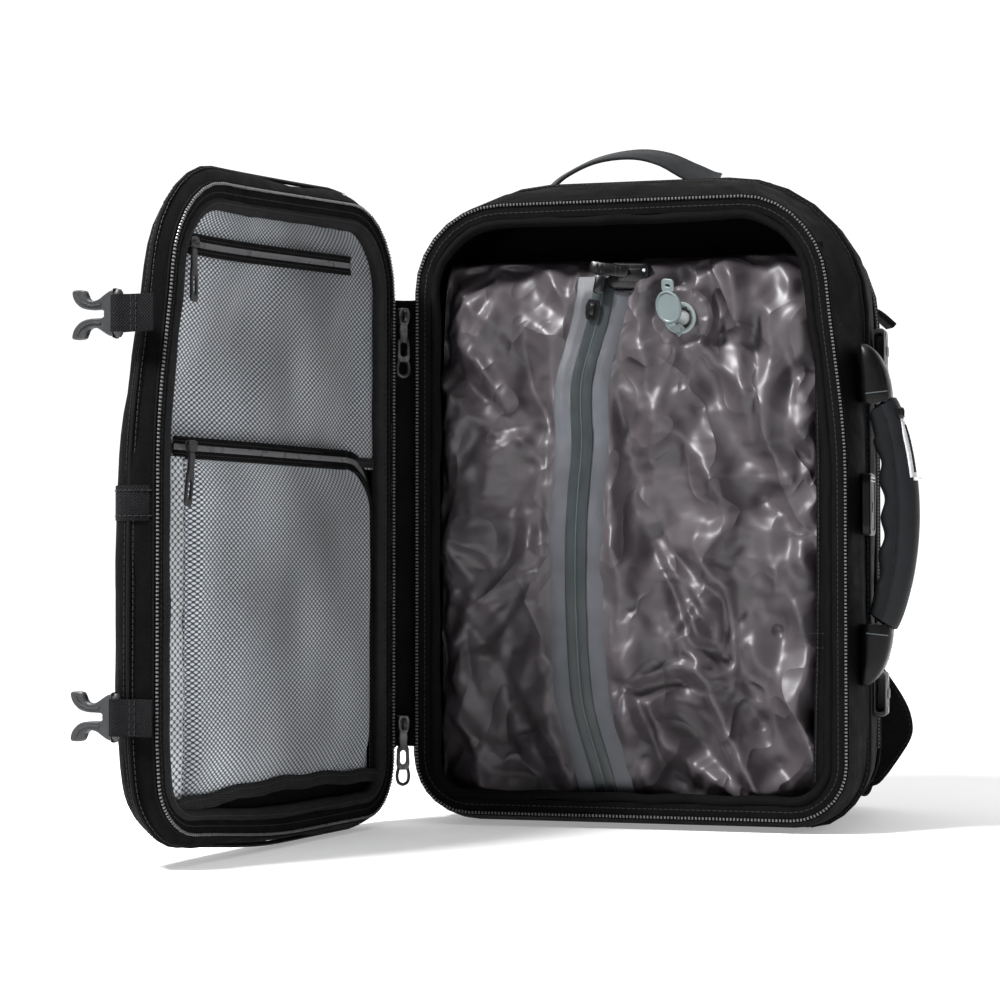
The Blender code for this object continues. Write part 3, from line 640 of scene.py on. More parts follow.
def chamfered_block():
    """A block 1 x 1 x 1 whose top is drawn in, and its faces."""
    wide, top = 0.5, 0.32
    points = [(x * wide, y * wide, -0.5) for x, y in ((-1, -1), (1, -1), (1, 1), (-1, 1))]
    points += [(x * wide, y * wide, 0.15) for x, y in ((-1, -1), (1, -1), (1, 1), (-1, 1))]
    points += [(x * top, y * top, 0.5) for x, y in ((-1, -1), (1, -1), (1, 1), (-1, 1))]
    faces = [(3, 2, 1, 0), (8, 9, 10, 11)]
    for base in (0, 4):
        faces += [(base + k, base + (k + 1) % 4, base + 4 + (k + 1) % 4, base + 4 + k)
                  for k in range(4)]
    return np.array(points), faces


def inset_loop(points, amount):
    """A closed flat outline, anticlockwise, drawn in by an amount."""
    points = np.asarray(points, float)
    along = unit(np.roll(points, -1, 0) - np.roll(points, 1, 0))
    return points + amount * np.column_stack((-along[:, 1], along[:, 0]))


def even_loop(points, count):
    """A closed flat outline resampled at even steps."""
    flat = np.column_stack((np.asarray(points, float), np.zeros(len(points))))
    return even(np.concatenate((flat, flat[:1])), count + 1)[:-1, :2]


def axes_at(centre, across, up):
    """A place whose local X runs across, Y up, and Z out of the two."""
    across, up = Vector(across).normalized(), Vector(up).normalized()
    out = across.cross(up)
    turn = Matrix((across, up, out)).transposed().to_4x4()
    return Matrix.Translation(Vector(centre)) @ turn


def moved(points, place):
    matrix = np.array(place)
    return np.asarray(points, float) @ matrix[:3, :3].T + matrix[:3, 3]


def plate(pile, place, outer, thick, hole=None, bevel=0.0004, slot=0):
    """A flat plate with bevelled edges, and a hole through it if its outline is given."""
    levels = ((-thick / 2, bevel), (bevel - thick / 2, 0.0), (thick / 2 - bevel, 0.0),
              (thick / 2, bevel))
    outer = even_loop(outer, 40) if hole is not None else np.asarray(outer, float)
    loops = [(inset_loop(outer, drawn), level) for level, drawn in levels]
    if hole is not None:
        hole = even_loop(hole, 40)
        start = int(np.argmin(np.linalg.norm(hole - outer[0], axis=1)))
        hole = np.roll(hole, -start, 0)
        loops += [(inset_loop(hole, -drawn), level) for level, drawn in reversed(levels)]
        loops.append(loops[0])
    rows = [moved(np.column_stack((loop, np.full(len(loop), level))), place)
            for loop, level in loops]
    return pile.grid(rows, closed=True, caps=hole is None, slot=slot)


def swell(pile, place, section, levels, slot=0):
    """A solid whose flat section changes size along its depth: levels are (depth, scale)."""
    section = np.asarray(section, float)
    rows = [moved(np.column_stack((section * size, np.full(len(section), depth))), place)
            for depth, size in levels]
    return pile.grid(rows, closed=True, caps=True, slot=slot)


def zip_strip(pile, path, up, width, tape=0, teeth=1, pitch=0.0016, size=0.004):
    """A narrow closed zip: two tapes with a line between them and its coil."""
    pile.band(path, width, 0.0012, up, slot=tape)
    _, side, out = frames(path, up)
    for hand in (-1, 1):
        pile.rod(path + side * hand * (width / 2 - 0.0005) + out * 0.0006, 0.0006, up, slot=tape,
                 sides=6)
    pile.blocks(path, up, pitch, (pitch * 0.62, size, 0.0012), teeth, lift=0.001)


def slider_body(pile, place, length, width, high, slot=0):
    """A zip slider: two waisted plates joined by a bridge, with a loop for its puller."""
    shape = [(x * width / 2, y * length / 2) for x, y in
             ((-0.62, -1), (0.62, -1), (0.86, -0.5), (1, 0.35), (0.72, 1), (-0.72, 1), (-1, 0.35),
              (-0.86, -0.5))]
    for level in (-0.36, 0.36):
        plate(pile, place @ Matrix.Translation((0, 0, level * high)), even_loop(shape, 28),
              high * 0.26,
              bevel=high * 0.05, slot=slot)
    plate(pile, place, rounded_box(width * 0.34, length * 0.62, width * 0.1), high * 0.8,
          bevel=high * 0.05, slot=slot)
    arch = [moved((0, length * y, high * z), place) for y, z in ((-0.34, 0.46), (-0.26, 0.86),
                                                                 (0.0, 0.98), (0.26, 0.86),
                                                                (0.34, 0.46))]
    pile.sweep(smooth_path(arch, 12), rounded_box(width * 0.26, high * 0.16, high * 0.05),
               np.array(place)[:3, 2], slot=slot)


def puller(pile, place, length, width, thick, slot=0):
    """A flat puller that hangs along local -Y from its pivot: eye, waist, slotted paddle."""
    outer = [(-0.36, 0.02), (-0.4, -0.18), (-0.34, -0.3), (-0.5, -0.42), (-0.5, -0.94),
             (-0.38, -1.0), (0.38, -1.0),
             (0.5, -0.94), (0.5, -0.42), (0.34, -0.3), (0.4, -0.18), (0.36, 0.02)]
    outer = [(x * width, y * length) for x, y in outer]
    hole = [(x * width * 0.24, length * -0.68 + y * length * 0.2)
            for x, y in rounded_box(2, 2, 0.7)]
    plate(pile, place, outer, thick, hole, bevel=thick * 0.2, slot=slot)


def edge_out(path):
    """The outward way at each point of a closed outline in the XZ plane."""
    path = np.asarray(path, float)
    along = unit(np.roll(path, -1, 0) - np.roll(path, 1, 0))
    return np.column_stack((along[:, 2], np.zeros(len(path)), -along[:, 0]))


M = make_materials()
make_camera()
make_studio()


# ---------------------------------------------------------------- body


TAPER = 0.004  # how much slimmer the soft body is at the back


def body_ring(y, inset=0.0):
    """The body shell's outline at a depth, from the rim through the waist to the round back."""
    flare = max(0.0, (BODY_FRONT + BODY_FLARE - y) / BODY_FLARE) ** 2
    rounding = BODY_BACK - BODY_ROUND
    inner = 0.0
    if y > rounding:
        inner = BODY_ROUND - (BODY_ROUND**2 - min(y - rounding, BODY_ROUND) ** 2) ** 0.5
    return ring(mix(BODY_WAIST, RIM, flare), y, inset + inner + TAPER * step(y, -0.03, 0.05))


def build_body_shell():
    depths = [*np.linspace(BODY_FRONT, -0.05, 8), *np.linspace(-0.042, 0.055, 12)]
    depths += [BODY_BACK - BODY_ROUND + BODY_ROUND * sin(radians(a))
               for a in (10, 20, 30, 40, 50, 60, 70, 80, 90)]
    rows = []
    for y in depths:
        row = body_ring(y)
        panel = 0.0016 * abs(sin(pi * (y + 0.05) / 0.08)) if -0.05 < y < 0.03 else 0.0
        soft = ripple(row, 0.16, 0.0011, 3) + ripple(row * (1, 2, 1), 0.05, 0.0005, 5)
        soft *= step(y, BODY_FRONT, BODY_FRONT + 0.02) * step(row[:, 2], 0.0, 0.05)
        row += edge_out(row) * (panel + soft)[:, None]
        row[:, 2] = np.maximum(row[:, 2], 0.0)
        rows.append(row)
    last = rows[-1]
    centre = last.mean(0)
    for share in (0.8, 0.55, 0.3, 0.05):
        rows.append(centre + (last - centre) * share)
    pile = Pile().grid(lean(rows), closed=True)
    pile.build("body_shell_fabric", "body", [M["shell"]], ["body_shell"], "nylon_shell", edge=60)
    trim = Pile()
    for y, radius in ((-0.0485, 0.0022), (0.0565, 0.0018)):
        path = lean(body_ring(y, -0.001))
        path[:, 2] = np.maximum(path[:, 2], radius)
        trim.rod(path, radius, edge_out(path), closed=True)
    for y in (-0.0555, -0.042):
        path = lean(body_ring(y, -0.0012))
        path[:, 2] = np.maximum(path[:, 2], 0.0006)
        trim.stitches(path, edge_out(path), slot=1, closed=True)
    trim.build("body_piping", "body", [M["piping"], M["thread"]], slot="nylon_shell")


def build_zip_half(name, node, body, y, face, lid):
    """One half of the main zip: woven tape, cord edge and teeth along its outer side."""
    pile = Pile()
    rise = face * 0.0014
    rows = [lean(ring(RIM, y + depth, inset), lid) for inset, depth in
            ((0.0002, -rise), (0.0006, rise * 0.6), (0.0042, rise), (0.01, rise * 0.6), (0.0134, 0),
             (0.0134, -rise))]
    pile.grid(rows, closed=True)
    line = lean(ring(RIM, y + rise, 0.0026), lid)
    pile.rod(line, 0.001, (0, face, 0), closed=True)
    pile.blocks(line, (0, face, 0), 0.0027, (0.0013, 0.0019, 0.0014), 1, lift=0.0009, closed=True)
    seam = lean(ring(RIM, y + rise * 0.7, 0.0088), lid)
    pile.stitches(seam, (0, face, 0), slot=2, closed=True)
    pile.build(name, body, [M["tape"], M["teeth"], M["thread"]], [node], "zip_tape", lid=lid)


def build_mouth():
    """Rolled binding inside the body's zip and the lining behind it, in soft folds."""
    build_zip_half("body_zip", "body_zip_tape", "body", TAPE_FRONT + 0.0021, -1, False)
    rows = []
    for inset, y in ((0.013, -0.0965), (0.015, -0.0985), (0.0185, -0.0975), (0.0205, -0.094),
                     (0.019, -0.088),
                     (0.014, -0.08)):
        row = ring(RIM, y, inset)
        row += edge_out(row) * ripple(row, 0.05, 0.001, 11)[:, None]
        row[:, 1] += ripple(row, 0.04, 0.0008, 12)
        rows.append(row)
    Pile().grid(lean(rows), closed=True).build("mouth_binding", "body", [M["gusset"]],
                                               slot="nylon_shell", edge=70)
    rows = []
    for y in np.linspace(-0.09, 0.022, 18):
        row = body_ring(y, 0.005)
        fold = ripple(row * (1, 0.35, 1), 0.07, 0.0022, 21, 3) + 0.002
        row -= edge_out(row) * np.maximum(fold, 0.0)[:, None]
        rows.append(row)
    back = rows[-1]
    middle = back.mean(0)
    rows += [middle + (back - middle) * share for share in (0.8, 0.5, 0.2)]
    pile = Pile().grid(lean(rows), closed=True)
    pile.build("body_lining_fabric", "body", [M["lining"]], ["body_lining"], "nylon_shell", edge=70)


build_body_shell()
build_mouth()


# ---------------------------------------------------------------- vacuum bag

bag_low, bag_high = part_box("vacuum_bag")
BAG_FRONT = bag_low.y - 0.0015
BAG_ROUND = 0.028
BAG_SIDE = 0.04  # how far the cloth runs back beside the contents
VALVE = sum(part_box("valve_ring"), Vector()) / 2
ZIP_HALF = 0.022  # the zip with its welded strips


ZIP_LINE = smooth_path([(-0.019, 0, 0.005), (-0.0206, 0, 0.03), (-0.0262, 0, 0.052),
                        (-0.0375, 0, 0.093),
                        (-0.0416, 0, 0.135), (-0.0432, 0, 0.176), (-0.0435, 0, 0.218),
                        (-0.0416, 0, 0.259),
                        (-0.0385, 0, 0.298), (-0.0396, 0, 0.328), (-0.038, 0, 0.355),
                        (-0.0265, 0, 0.397),
                        (-0.0214, 0, 0.426), (-0.0205, 0, 0.455)], 120)


def bag_zip_x(z):
    """The welded zip bows to the left in the middle of the bag."""
    return np.interp(z, ZIP_LINE[:, 2], ZIP_LINE[:, 0])


def round_edge(along, half):
    """Where a cloth that wraps round an edge lies, and how far back, at a distance from its middle."""
    size = np.abs(along)
    turn = np.clip((size - (half - BAG_ROUND)) / BAG_ROUND, 0, pi / 2)
    flat = np.minimum(size, half - BAG_ROUND)
    rest = np.maximum(size - (half - BAG_ROUND) - BAG_ROUND * pi / 2, 0)
    return np.sign(along) * (flat + BAG_ROUND * np.sin(turn)), BAG_ROUND * (1 - np.cos(turn)) + rest


def bag_face(z):
    """How far forward the bag's contents lie at a height: full below, slack at the top."""
    full = np.sin(pi * np.clip((np.asarray(z, float) - bag_low.z) / 0.36, 0, 1))
    return BAG_FRONT + 0.01 * step(z, 0.415, 0.455) - 0.005 * full


def bag_cloth(pitch):
    """Rows of points of the bag's front and sides, laid over its contents."""
    half_x, half_z = (bag_high.x - bag_low.x) / 2 + 0.004, (bag_high.z - bag_low.z) / 2
    wrap = BAG_ROUND * (pi / 2 - 1) + BAG_SIDE
    across = np.linspace(-1, 1, int(2 * (half_x + wrap) / pitch)) * (half_x + wrap)
    down = np.linspace(1, -1, int(2 * (half_z + wrap) / pitch)) * (half_z + wrap)
    x, back_x = round_edge(across, half_x)
    z, back_z = round_edge(down, half_z)
    x, z = np.meshgrid(x - 0.004, z + (bag_low.z + bag_high.z) / 2)
    back = np.hypot(*np.meshgrid(back_x, back_z))
    return np.stack((x, bag_face(z) + 0.08 * np.tanh(back / 0.08), z), -1)


def held_flat(points):
    """1 where a weld keeps the cloth smooth: along the zip and round the valve."""
    x, z = points[..., 0], points[..., 2]
    zip_hold = 1 - step(np.abs(x - bag_zip_x(z)), ZIP_HALF + 0.001, ZIP_HALF + 0.009)
    valve_hold = 1 - step(np.hypot(x - VALVE.x, z - VALVE.z), 0.02, 0.029)
    return np.maximum(zip_hold, valve_hold)


def crumpled(x, z, spacing, height, seed, turn=0.0, stretch=1.0):
    """Heights of a sheet that is creased along the edges of random triangles."""
    source = np.random.default_rng(seed)
    across = x * cos(turn) + z * sin(turn)
    along = (z * cos(turn) - x * sin(turn)) / stretch
    reach = 2 * spacing
    grid = np.meshgrid(np.arange(across.min() - reach, across.max() + reach, spacing),
                       np.arange(along.min() - reach, along.max() + reach, spacing))
    corners = np.column_stack([axis.ravel() for axis in grid])
    corners += source.uniform(-0.45, 0.45, corners.shape) * spacing
    tall = source.uniform(-1, 1, len(corners)) * height
    triangles = delaunay_2d_cdt([Vector(c) for c in corners], [], [], 0, 1e-7)[2]
    result = np.zeros(x.shape)
    for a, b, c in triangles:
        low, high = corners[[a, b, c]].min(0), corners[[a, b, c]].max(0)
        near = (across >= low[0]) & (across <= high[0]) & (along >= low[1]) & (along <= high[1])
        if not near.any():
            continue
        to_b, to_c = corners[b] - corners[a], corners[c] - corners[a]
        area = to_b[0] * to_c[1] - to_b[1] * to_c[0]
        px, pz = across[near] - corners[a][0], along[near] - corners[a][1]
        u = (px * to_c[1] - pz * to_c[0]) / area
        v = (to_b[0] * pz - to_b[1] * px) / area
        inside = (u >= -1e-9) & (v >= -1e-9) & (u + v <= 1 + 1e-9)
        values = result[near]
        values[inside] = (tall[a] * (1 - u - v) + tall[b] * u + tall[c] * v)[inside]
        result[near] = values
    return result


def ridges(x, z, size, height, seed, turn, stretch):
    """How far a sheet sinks between sharp crests that are drawn out along one way."""
    across = x * cos(turn) + z * sin(turn)
    along = (z * cos(turn) - x * sin(turn)) / stretch
    return height * np.abs(ripple(np.stack((across, 0 * x, along), -1), size, 1.0, seed, 2))


def creased(heights, deep):
    """Heights folded back and forth into a shallow depth, so that slopes stay steep."""
    return deep * (np.abs(np.mod(heights / deep, 2) - 1) - 0.5)


def simulate_crumple(item, contents, pins, frames=16, growth=0.022):
    """Air is drawn out: too much cloth is pressed on the contents, and its creases deepen."""
    scene = bpy.context.scene
    group = item.vertex_groups.new(name="held")
    for index in np.flatnonzero(pins > 0.02):
        group.add([int(index)], float(pins[index]), "REPLACE")
    contents.modifiers.new("solid", "COLLISION")
    contents.collision.thickness_outer = 0.0012
    contents.collision.cloth_friction = 8
    cloth = item.modifiers.new("crumple", "CLOTH")
    settings = cloth.settings
    settings.quality = 5
    settings.mass = 0.15
    settings.tension_stiffness = settings.compression_stiffness = 30
    settings.shear_stiffness = 12
    settings.bending_stiffness = 1.6
    settings.air_damping = 3
    settings.vertex_group_mass = "held"
    settings.shrink_min = -growth
    cloth.collision_settings.distance_min = 0.0012
    cloth.collision_settings.collision_quality = 2
    cloth.point_cache.frame_end = frames
    scene.gravity = (0, 6.0, 0)
    for frame_number in range(1, frames + 1):
        scene.frame_set(frame_number)
    cooked = item.evaluated_get(bpy.context.evaluated_depsgraph_get()).to_mesh()
    points = np.empty(len(cooked.vertices) * 3)
    cooked.vertices.foreach_get("co", points)
    item.modifiers.remove(cloth)
    scene.frame_set(1)
    scene.gravity = (0, 0, -9.81)
    item.data.vertices.foreach_set("co", points)
    item.vertex_groups.clear()
    item.data.update()


def build_bag():
    rows = bag_cloth(0.0036)
    free = 1 - held_flat(rows)
    rows[..., 1] += ripple(rows, 0.13, 0.004, 31, 2) * free
    contents = Pile().grid(rows).build("bag_contents", "body", [M["lining"]], hold=True, edge=180)
    start = rows.copy()
    x, z = start[..., 0], start[..., 2]
    folds = (creased(crumpled(x, z, 0.052, 0.036, 41, 0.5, 1.8), 0.015)
             + creased(crumpled(x, z, 0.03, 0.014, 42, -0.45, 1.9), 0.0065) + crumpled(x, z, 0.016,
                 0.0012, 43, 0.2))
    folds *= free
    start[..., 1] += 0.1 * folds - 0.002 * free - 0.001
    item = Pile().grid(start).build("vacuum_bag_cloth", "body", [M["bag"]], hold=True, edge=180)
    border = np.zeros(rows.shape[:2], bool)
    border[[0, -1]] = True
    border[:, [0, -1]] = True
    simulate_crumple(item, contents, np.where(border, 1.0, 1 - free).ravel())
    points = np.empty(rows.size)
    item.data.vertices.foreach_get("co", points)
    crests = ridges(x, z, 0.105, 0.019, 44, 0.45, 1.7) + ridges(x, z, 0.06, 0.0065, 45, -0.6,
                                                                1.5) - 0.006
    points[1::3] += ((0.95 * folds + crests * free) * step(-start[..., 1], 0.058, 0.07)).ravel()
    item.data.vertices.foreach_set("co", points)
    item.data.update()
    bpy.data.objects.remove(contents, do_unlink=True)
    fine = item.modifiers.new("fine", "SUBSURF")
    fine.levels = fine.render_levels = 1
    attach(item, "body")
    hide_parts("vacuum_bag")


build_bag()


def build_bag_zip():
    """The welded zip down the bag's middle, its closing dock, slider and T-shaped puller."""
    z = np.linspace(0.432, 0.014, 90)
    line = np.column_stack((bag_zip_x(z), bag_face(z) - 0.0016 + 0.012 * step(-z, -0.035, -0.01),
                            z))
    line[:, 1] += ripple(line, 0.07, 0.0006, 51)
    pile = Pile()
    across = (-1, -0.93, -0.62, -0.36, -0.33, -0.3)
    lift = (0.0006, -0.0002, -0.0009, -0.0002, -0.0003, -0.0008)
    for hand in (-1, 1):
        rows = []
        for share, rise in zip(across, lift):
            row = line.copy()
            row[:, 0] += hand * share * ZIP_HALF
            row[:, 1] += rise + ripple(row, 0.03, 0.0005, 52 + hand)
            rows.append(row)
        pile.grid(rows)
    for x, radius in ((-0.0072, 0.0009), (0.0072, 0.0009)):
        pile.rod(line + (x, -0.0008, 0), radius, (0, -1, 0), slot=1, sides=6)
    for hand in (-1, 1):
        pile.band(line + (hand * 0.0045, -0.001, 0), 0.008, 0.0013, (0, -1, 0), slot=2)
    pile.rod(line + (0, -0.0013, 0), 0.0008, (0, -1, 0), slot=1, sides=6)
    materials = [M["welded"], M["valve_dark"], M["bag_zip"]]
    pile.build("bag_zip_welded", "body", materials, ["bag_zip_tape"], "bag_zip")

    low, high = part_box("bag_zip_dock")
    middle = (low + high) / 2
    place = axes_at((middle.x + 0.003, middle.y + 0.0008, middle.z + 0.003), (1, 0, -0.05),
                    (0.05, 0, 1))
    wide, tall = high.x - low.x, high.z - low.z
    pile = Pile()
    swell(pile, place, rounded_box(wide, tall, 0.004), ((-0.005, 1.0), (0.0018, 1.0),
                                                        (0.0036, 0.93),
                                                        (0.0042, 0.84)))
    swell(pile, place @ Matrix.Translation((0.001, 0.0005, 0.004)), rounded_box(wide * 0.66,
                                                                                tall * 0.52, 0.003),
          ((-0.002, 1), (0.0008, 0.97), (0.0014, 0.86)))
    swell(pile, place @ Matrix.Translation((0.0122, 0.0045, 0.0042)), disc(0.0013, 14),
          ((-0.001, 1), (0.0008, 1), (0.0013, 0.6)), slot=1)
    pile.rod(smooth_path([moved(p, place) for p in ((-0.016, -0.0095, -0.002), (0, -0.0118, 0.0005),
                                                    (0.016, -0.0095, -0.002))], 14), 0.0011)
    pile.build("bag_zip_dock_moulded", "body", [M["gloss"], M["chrome"]], ["bag_zip_dock"],
               "gloss_black")

    low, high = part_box("bag_zip_slider")
    middle = (low + high) / 2
    pile = Pile()
    place = axes_at((middle.x, low.y + 0.0012, middle.z), (0.985, 0, -0.172), (0.172, 0, 0.985))
    slider_body(pile, place, high.z - low.z, high.x - low.x, 0.0046)
    pile.build("bag_zip_slider_moulded", "bag_slider", [M["gloss"]], ["bag_zip_slider"],
               "gloss_black")

    low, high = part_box("bag_zip_pull")
    middle = (low + high) / 2
    pile = Pile()
    bar = axes_at((middle.x + 0.007, middle.y, high.z), (0.985, 0, -0.172), (0.172, 0, 0.985))
    swell(pile, bar, rounded_box(high.x - low.x, 0.01, 0.0035),
          ((-0.0022, 0.93), (-0.0014, 1.0), (0.0014, 1.0), (0.0022, 0.9)))
    for x in (-0.0095, -0.006, 0.006, 0.0095):
        swell(pile, bar @ Matrix.Translation((x, 0, 0.0021)), rounded_box(0.0016, 0.007, 0.0007),
              ((-0.0006, 1), (0.0003, 1), (0.0006, 0.7)))
    neck = axes_at((-0.0235, middle.y, low.z + 0.0088), (0.985, 0, -0.172), (0.172, 0, 0.985))
    swell(pile, neck, rounded_box(0.0085, 0.015, 0.003), ((-0.0018, 0.95), (-0.0012, 1),
                                                          (0.0012, 1),
                                                          (0.0018, 0.9)))
    pile.build("bag_zip_pull_moulded", "bag_pull", [M["gloss"]], ["bag_zip_pull"], "gloss_black")


def turned_profile(pile, centre, way, profile, sides=48, slot=0):
    """A profile of (radius, height) spun round an axis."""
    place = np.array(Vector(way).to_track_quat("Z", "Y").to_matrix())
    turn = np.linspace(0, 2 * pi, sides, endpoint=False)
    rows = [np.column_stack((radius * np.cos(turn), radius * np.sin(turn),
                             np.full(sides, height))) @ place.T
            + np.array(centre) for radius, height in profile]
    pile.grid(rows, closed=True, caps=True, slot=slot)


def build_valve():
    """Welded flange, seat ring with its dark groove, white membrane and the cap on its strap."""
    low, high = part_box("valve_flange")
    middle = (low + high) / 2
    turn = np.linspace(0, 2 * pi, 96, endpoint=False)
    rows = []
    for radius in (0.025, 0.0242, 0.0232, 0.0218, 0.02, 0.016, 0.0125):
        wave = (0.0007 * np.sin(7 * turn) + 0.0003 * np.sin(17 * turn + 1)) * step(radius, 0.014,
                                                                                   0.022)
        y = low.y - 0.003 + 0.0026 * step(radius, 0.0215, 0.0262) + wave * step(radius, 0.013, 0.02)
        rows.append(np.column_stack((middle.x + radius * np.cos(turn), y, middle.z
                                     + radius * np.sin(turn))))
    pile = Pile().grid(rows, closed=True)
    pile.build("valve_flange_welded", "body", [M["bag"]], ["valve_flange"], "bag_nylon", edge=70)

    low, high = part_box("valve_ring")
    seat = ((low.x + high.x) / 2, low.y, (low.z + high.z) / 2)
    ring_pile = Pile()
    profile = ((0.0122, -0.006), (0.0126, -0.0022), (0.0124, -0.0006), (0.0116, 0.0),
               (0.0102, -0.0001),
               (0.0096, -0.0008), (0.0093, -0.0022), (0.0088, -0.0024), (0.0085, -0.0058))
    turned_profile(ring_pile, seat, (0, -1, 0), profile)
    for angle in np.radians(range(0, 360, 30)):
        place = Matrix.Translation((seat[0] + 0.009 * cos(angle), seat[1] + 0.0012, seat[2]
                                    + 0.009 * sin(angle)))
        swell(ring_pile, place @ Matrix.Rotation(pi / 2, 4, "X"), disc(0.0008, 8),
              ((-0.002, 1), (0.0008, 0.8)), 1)
    ring_pile.build("valve_ring_moulded", "body", [M["valve"], M["valve_dark"]], ["valve_ring"],
                    "valve_grey")

    low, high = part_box("valve_membrane")
    pile = Pile()
    centre = ((low.x + high.x) / 2, low.y + 0.0012, (low.z + high.z) / 2)
    turned_profile(pile, centre, (0, -1, 0), ((0.0082, -0.0012), (0.0084, -0.0004), (0.0066, 0.0)),
                   slot=1)
    turned_profile(pile, (centre[0] + 0.0006, centre[1], centre[2] + 0.0004), (0, -1, 0),
                   ((0.006, -0.0006), (0.0061, 0.0006), (0.0052, 0.0014), (0.003, 0.0017),
                    (0.0012, 0.0011)))
    pile.build("valve_membrane_moulded", "body", [M["white"], M["valve_dark"]], ["valve_membrane"],
               "valve_white")

    low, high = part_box("valve_cap")
    middle = (low + high) / 2
    across = Vector((0.9, -0.42, 0.05))
    up = (Vector((0.0, -0.3, 1.0))
          - across * across.dot(Vector((0.0, -0.3, 1.0))) / across.length_squared)
    face = axes_at(middle + Vector((0.0048, 0, 0.0015)), across, up)
    pile = Pile()
    oval = [(0.0118 * cos(a), 0.013 * sin(a)) for a in np.linspace(0, 2 * pi, 40, endpoint=False)]
    swell(pile, face, oval, ((-0.0012, 0.94), (-0.0008, 1.0), (0.0006, 1.0), (0.0012, 0.95),
                             (0.0013, 0.86), (0.0008, 0.82)))
    tab = face @ Matrix.Translation((0.0032, 0.0166, 0)) @ Matrix.Rotation(-0.22, 4, "Z")
    plate(pile, tab, rounded_box(0.0112, 0.0104, 0.003), 0.0018, rounded_box(0.0044, 0.002, 0.0008))
    rim = [moved((0.0108 * cos(a), 0.012 * sin(a), 0.0011), face)
           for a in np.linspace(0, 2 * pi, 41)[:-1]]
    pile.rod(rim, 0.0005, np.array(face)[:3, 2], closed=True, sides=6)
    strap = [moved(p, face) for p in ((0.0, -0.0115, 0.0), (0.0004, -0.015, 0.0004),
                                      (0.002, -0.0172,
                                                                                      -0.0012),
                                      (0.005, -0.0176, -0.004))]
    strap.append(np.array(seat) + (-0.003, 0.0005, -0.0122))
    pile.band(smooth_path(strap, 16), 0.007, 0.0012, np.array(face)[:3, 2])
    pile.build("valve_cap_moulded", "valve_cap", [M["valve_cap"]], ["valve_cap"], "valve_grey")


def build_inner_strap():
    """The strap sewn down the right of the mouth, and the cross seam near its foot."""
    low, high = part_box("inner_strap")
    z = np.linspace(high.z + 0.012, low.z - 0.01, 60)
    bend = 0.006 * np.sin(pi * (z - low.z) / (high.z - low.z))
    path = np.column_stack((np.full(60, (low.x + high.x) / 2) - 0.01 * step(z, 0.36, 0.45)
                            + bend * 0.5,
                            low.y - 0.0006 + ripple(np.column_stack((z, z, z)), 0.09, 0.0012, 61),
                            z))
    pile = Pile().band(path, 0.02, 0.0018, (-0.25, -1, 0))
    for hand in (-1, 1):
        pile.stitches(path + (hand * 0.0078, -0.0007, 0), (-0.25, -1, 0), slot=1)
    for level in (0.152, 0.141, 0.388):
        across = np.array([(x, low.y - 0.0014, level) for x in np.linspace(low.x, high.x + 0.002,
                                                                           6)])
        pile.stitches(across, (-0.2, -1, 0), slot=1)
    pile.build("inner_strap_sewn", "body", [M["gusset"], M["thread"]], ["inner_strap"],
               "black_webbing")


build_bag_zip()
build_valve()
build_inner_strap()


# ---------------------------------------------------------------- lid

LID_BULGE = 0.006


def lid_ring(y, inset=0.0):
    """The lid shell's outline at a depth, from its rim out to its rounded face."""
    away = LID_RIM - y
    flare = max(0.0, 1 - away / LID_FLARE) ** 2
    over = min(max(away - (LID_DEPTH - LID_ROUND), 0.0), LID_ROUND)
    inner = LID_ROUND - (LID_ROUND**2 - over**2) ** 0.5
    return ring(mix(LID_WAIST, RIM, flare), y, inset + inner)


def slack(points):
    """The lid is full towards its foot and slack towards its top free corner."""
    points = np.array(points, float)
    deep = np.clip((LID_RIM - points[..., 1]) / LID_DEPTH, 0, 1.3)
    top = step(points[..., 2], 0.2, 0.44)
    foot = 1 - step(points[..., 2], 0.0, 0.13)
    points[..., 1] += deep * (0.005 + 0.012 * top * step(points[..., 0], -0.1, 0.12) + 0.006 * foot)
    return points


